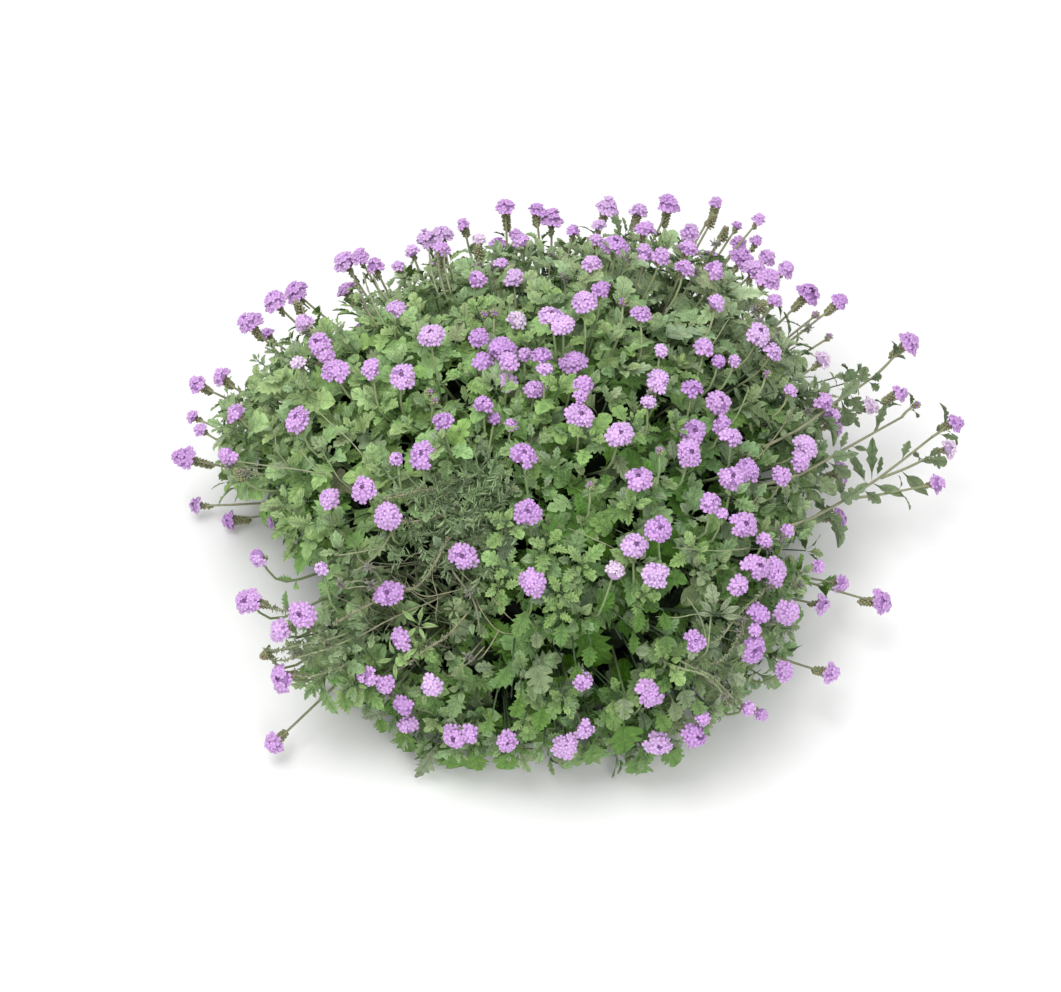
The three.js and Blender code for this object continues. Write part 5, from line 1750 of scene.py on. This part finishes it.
def add_thin_stems(b, gather):
    """Every stem, stalk and hair of a branch."""
    if b["paths"]:
        tubes(gather, np.array(b["paths"]), np.array(b["radii"]), np.array(b["tints"]), 1, 4)
    for path, radius, tone in b["long"]:
        tubes(gather, path[None], radius[None], tone[None], 1)
    if b["bits"]:
        paths, wide, tones = zip(*b["bits"])
        wide = np.array(wide)[:, None] * np.array([0.7, 1.0, 0.4])
        tubes(gather, np.array(paths), wide, np.array(tones), 1, 3)


def add_heart(branch, gather):
    """The branch's main stem, and a soft lump at its middle, near black as painted shade that fills the
    inside, lighter in the dull patches.
    """
    axis = BRANCH_AXES[branch]
    length = BRANCH_OUT[branch]
    u, v = sideways(axis, tangent_at(axis))
    t = np.linspace(MAIN_STEM_FOOT, length * 0.6, 7)[:, None]
    wobble = u * 3 * np.sin(t / 40 + branch) + v * 3 * np.cos(t / 33 + branch)
    main = APEX + axis * t + wobble * np.minimum(1, (t - MAIN_STEM_FOOT) / 60)
    tubes(gather, main[None], np.linspace(3.4, 2.2, 7)[None], STEM_WOOD[None], 1, 6)
    points, faces = CLUMP
    ridges = 0.22 * np.sin(points @ np.array([9.1, 4.3, 6.7]) + branch)
    rough = 1 + ridges * np.cos(points @ np.array([3.7, 8.9, -5.1]))
    wide = length * 0.105
    centre = APEX + axis * length * 0.62
    clump = centre + (points * rough[:, None]) @ np.array([u * wide, v * wide, axis * wide * 0.8])
    # Painted shade: the lump is near black, lighter in the dull patches.
    tone = mix(LEAF_PAINTED_SHADE * 0.35, LEAF_MIDDLE * 0.7, zones(APEX + axis * length).dull)
    gather.add(clump[None], faces, flat_map(points), tone[None], 1)


def place_piece(gather, name, materials):
    """Makes the gathered mesh a piece of the part."""
    piece = gather.make(name, materials)
    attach(piece, "root")
    return piece


def build_branches():
    """One piece of foliage for each branch, and one of flowers where it carries heads."""
    by_branch = [dict(leaves=Leaves(), paths=[], radii=[], tints=[], long=[], bits=[]) for _ in BRANCH_AXES]
    for grow in (rosette_shoots, foliage, feathery_shoots, straggly_stems, edge_shoots, bright_shoots,
                 dried_heads, narrow_shoots, open_stems, fronds, single_leaves, spray_shoots, spray_leaves):
        grow(by_branch)
    for branch, b in enumerate(by_branch):
        name = "branch_%02d" % (branch + 1)
        mine = [h for h in heads if h["branch"] == branch]
        inner_leaves(branch, b["leaves"])
        head_stalks(b, mine)
        green = Gather()
        b["leaves"].into(green, 0)
        add_thin_stems(b, green)
        add_heart(branch, green)
        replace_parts(place_piece(green, name + "_foliage", [LEAF_MATERIAL, STEM_MATERIAL]), name)
        if mine:
            bloom = Gather()
            gather_heads(mine, bloom)
            place_piece(bloom, name + "_flowers", [PETAL_MATERIAL, CALYX_MATERIAL])


build_branches()

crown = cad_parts["crown"]
for slot_ in crown.material_slots:
    slot_.material = BARK_MATERIAL
if not crown.material_slots:
    crown.data.materials.append(BARK_MATERIAL)


# ---------------------------------------------------------------- floor, light and camera
def add_lamp(name, place, aim, size, power):
    data = bpy.data.lights.new(name, "AREA")
    data.shape = "DISK"
    data.size = size
    data.energy = power
    lamp = bpy.data.objects.new(name, data)
    lamp.location = place
    lamp.rotation_euler = (Vector(aim) - Vector(place)).to_track_quat("-Z", "Y").to_euler()
    bpy.context.scene.collection.objects.link(lamp)


def add_camera():
    """The camera at the eye, so that the sight frame fills the image."""
    data = bpy.data.cameras.new("camera")
    camera = bpy.data.objects.new("camera", data)
    bpy.context.scene.collection.objects.link(camera)
    camera.location = Vector(EYE * MM)
    target = Vector(SIGHT_TARGET * MM)
    camera.rotation_euler = (target - camera.location).to_track_quat("-Z", "Y").to_euler()
    data.sensor_width = SENSOR_WIDTH
    data.lens = SENSOR_WIDTH * SIGHT_DISTANCE / (IMAGE_WIDTH * SIGHT_STEP)
    data.clip_end = 50
    bpy.context.scene.camera = camera


def stage_scene():
    """A pale floor just below the ground, white surroundings, two soft lamps and the camera."""
    bpy.ops.object.select_all(action="DESELECT")
    bpy.ops.mesh.primitive_plane_add(size=14, location=(0, 2, -0.0005))
    floor = bpy.context.active_object
    floor.name = "floor"
    material = bpy.data.materials.new("pale_floor")
    material.use_nodes = True
    shader = material.node_tree.nodes["Principled BSDF"]
    shader.inputs["Base Color"].default_value = (0.92, 0.92, 0.92, 1)
    shader.inputs["Roughness"].default_value = 0.9
    floor.data.materials.append(material)

    world = bpy.data.worlds.new("studio")
    bpy.context.scene.world = world
    world.use_nodes = True
    background = world.node_tree.nodes["Background"]
    background.inputs["Color"].default_value = (1.0, 1.0, 1.0, 1)
    background.inputs["Strength"].default_value = 0.75

    add_lamp("overhead_softbox", (-0.5, -0.3, 3.0), (0, 0, 0.1), 2.0, 52)
    add_lamp("front_softbox", (0.8, -2.6, 2.2), (0, 0, 0.1), 1.6, 20)
    add_camera()
    bpy.context.scene.view_settings.view_transform = "Standard"


stage_scene()
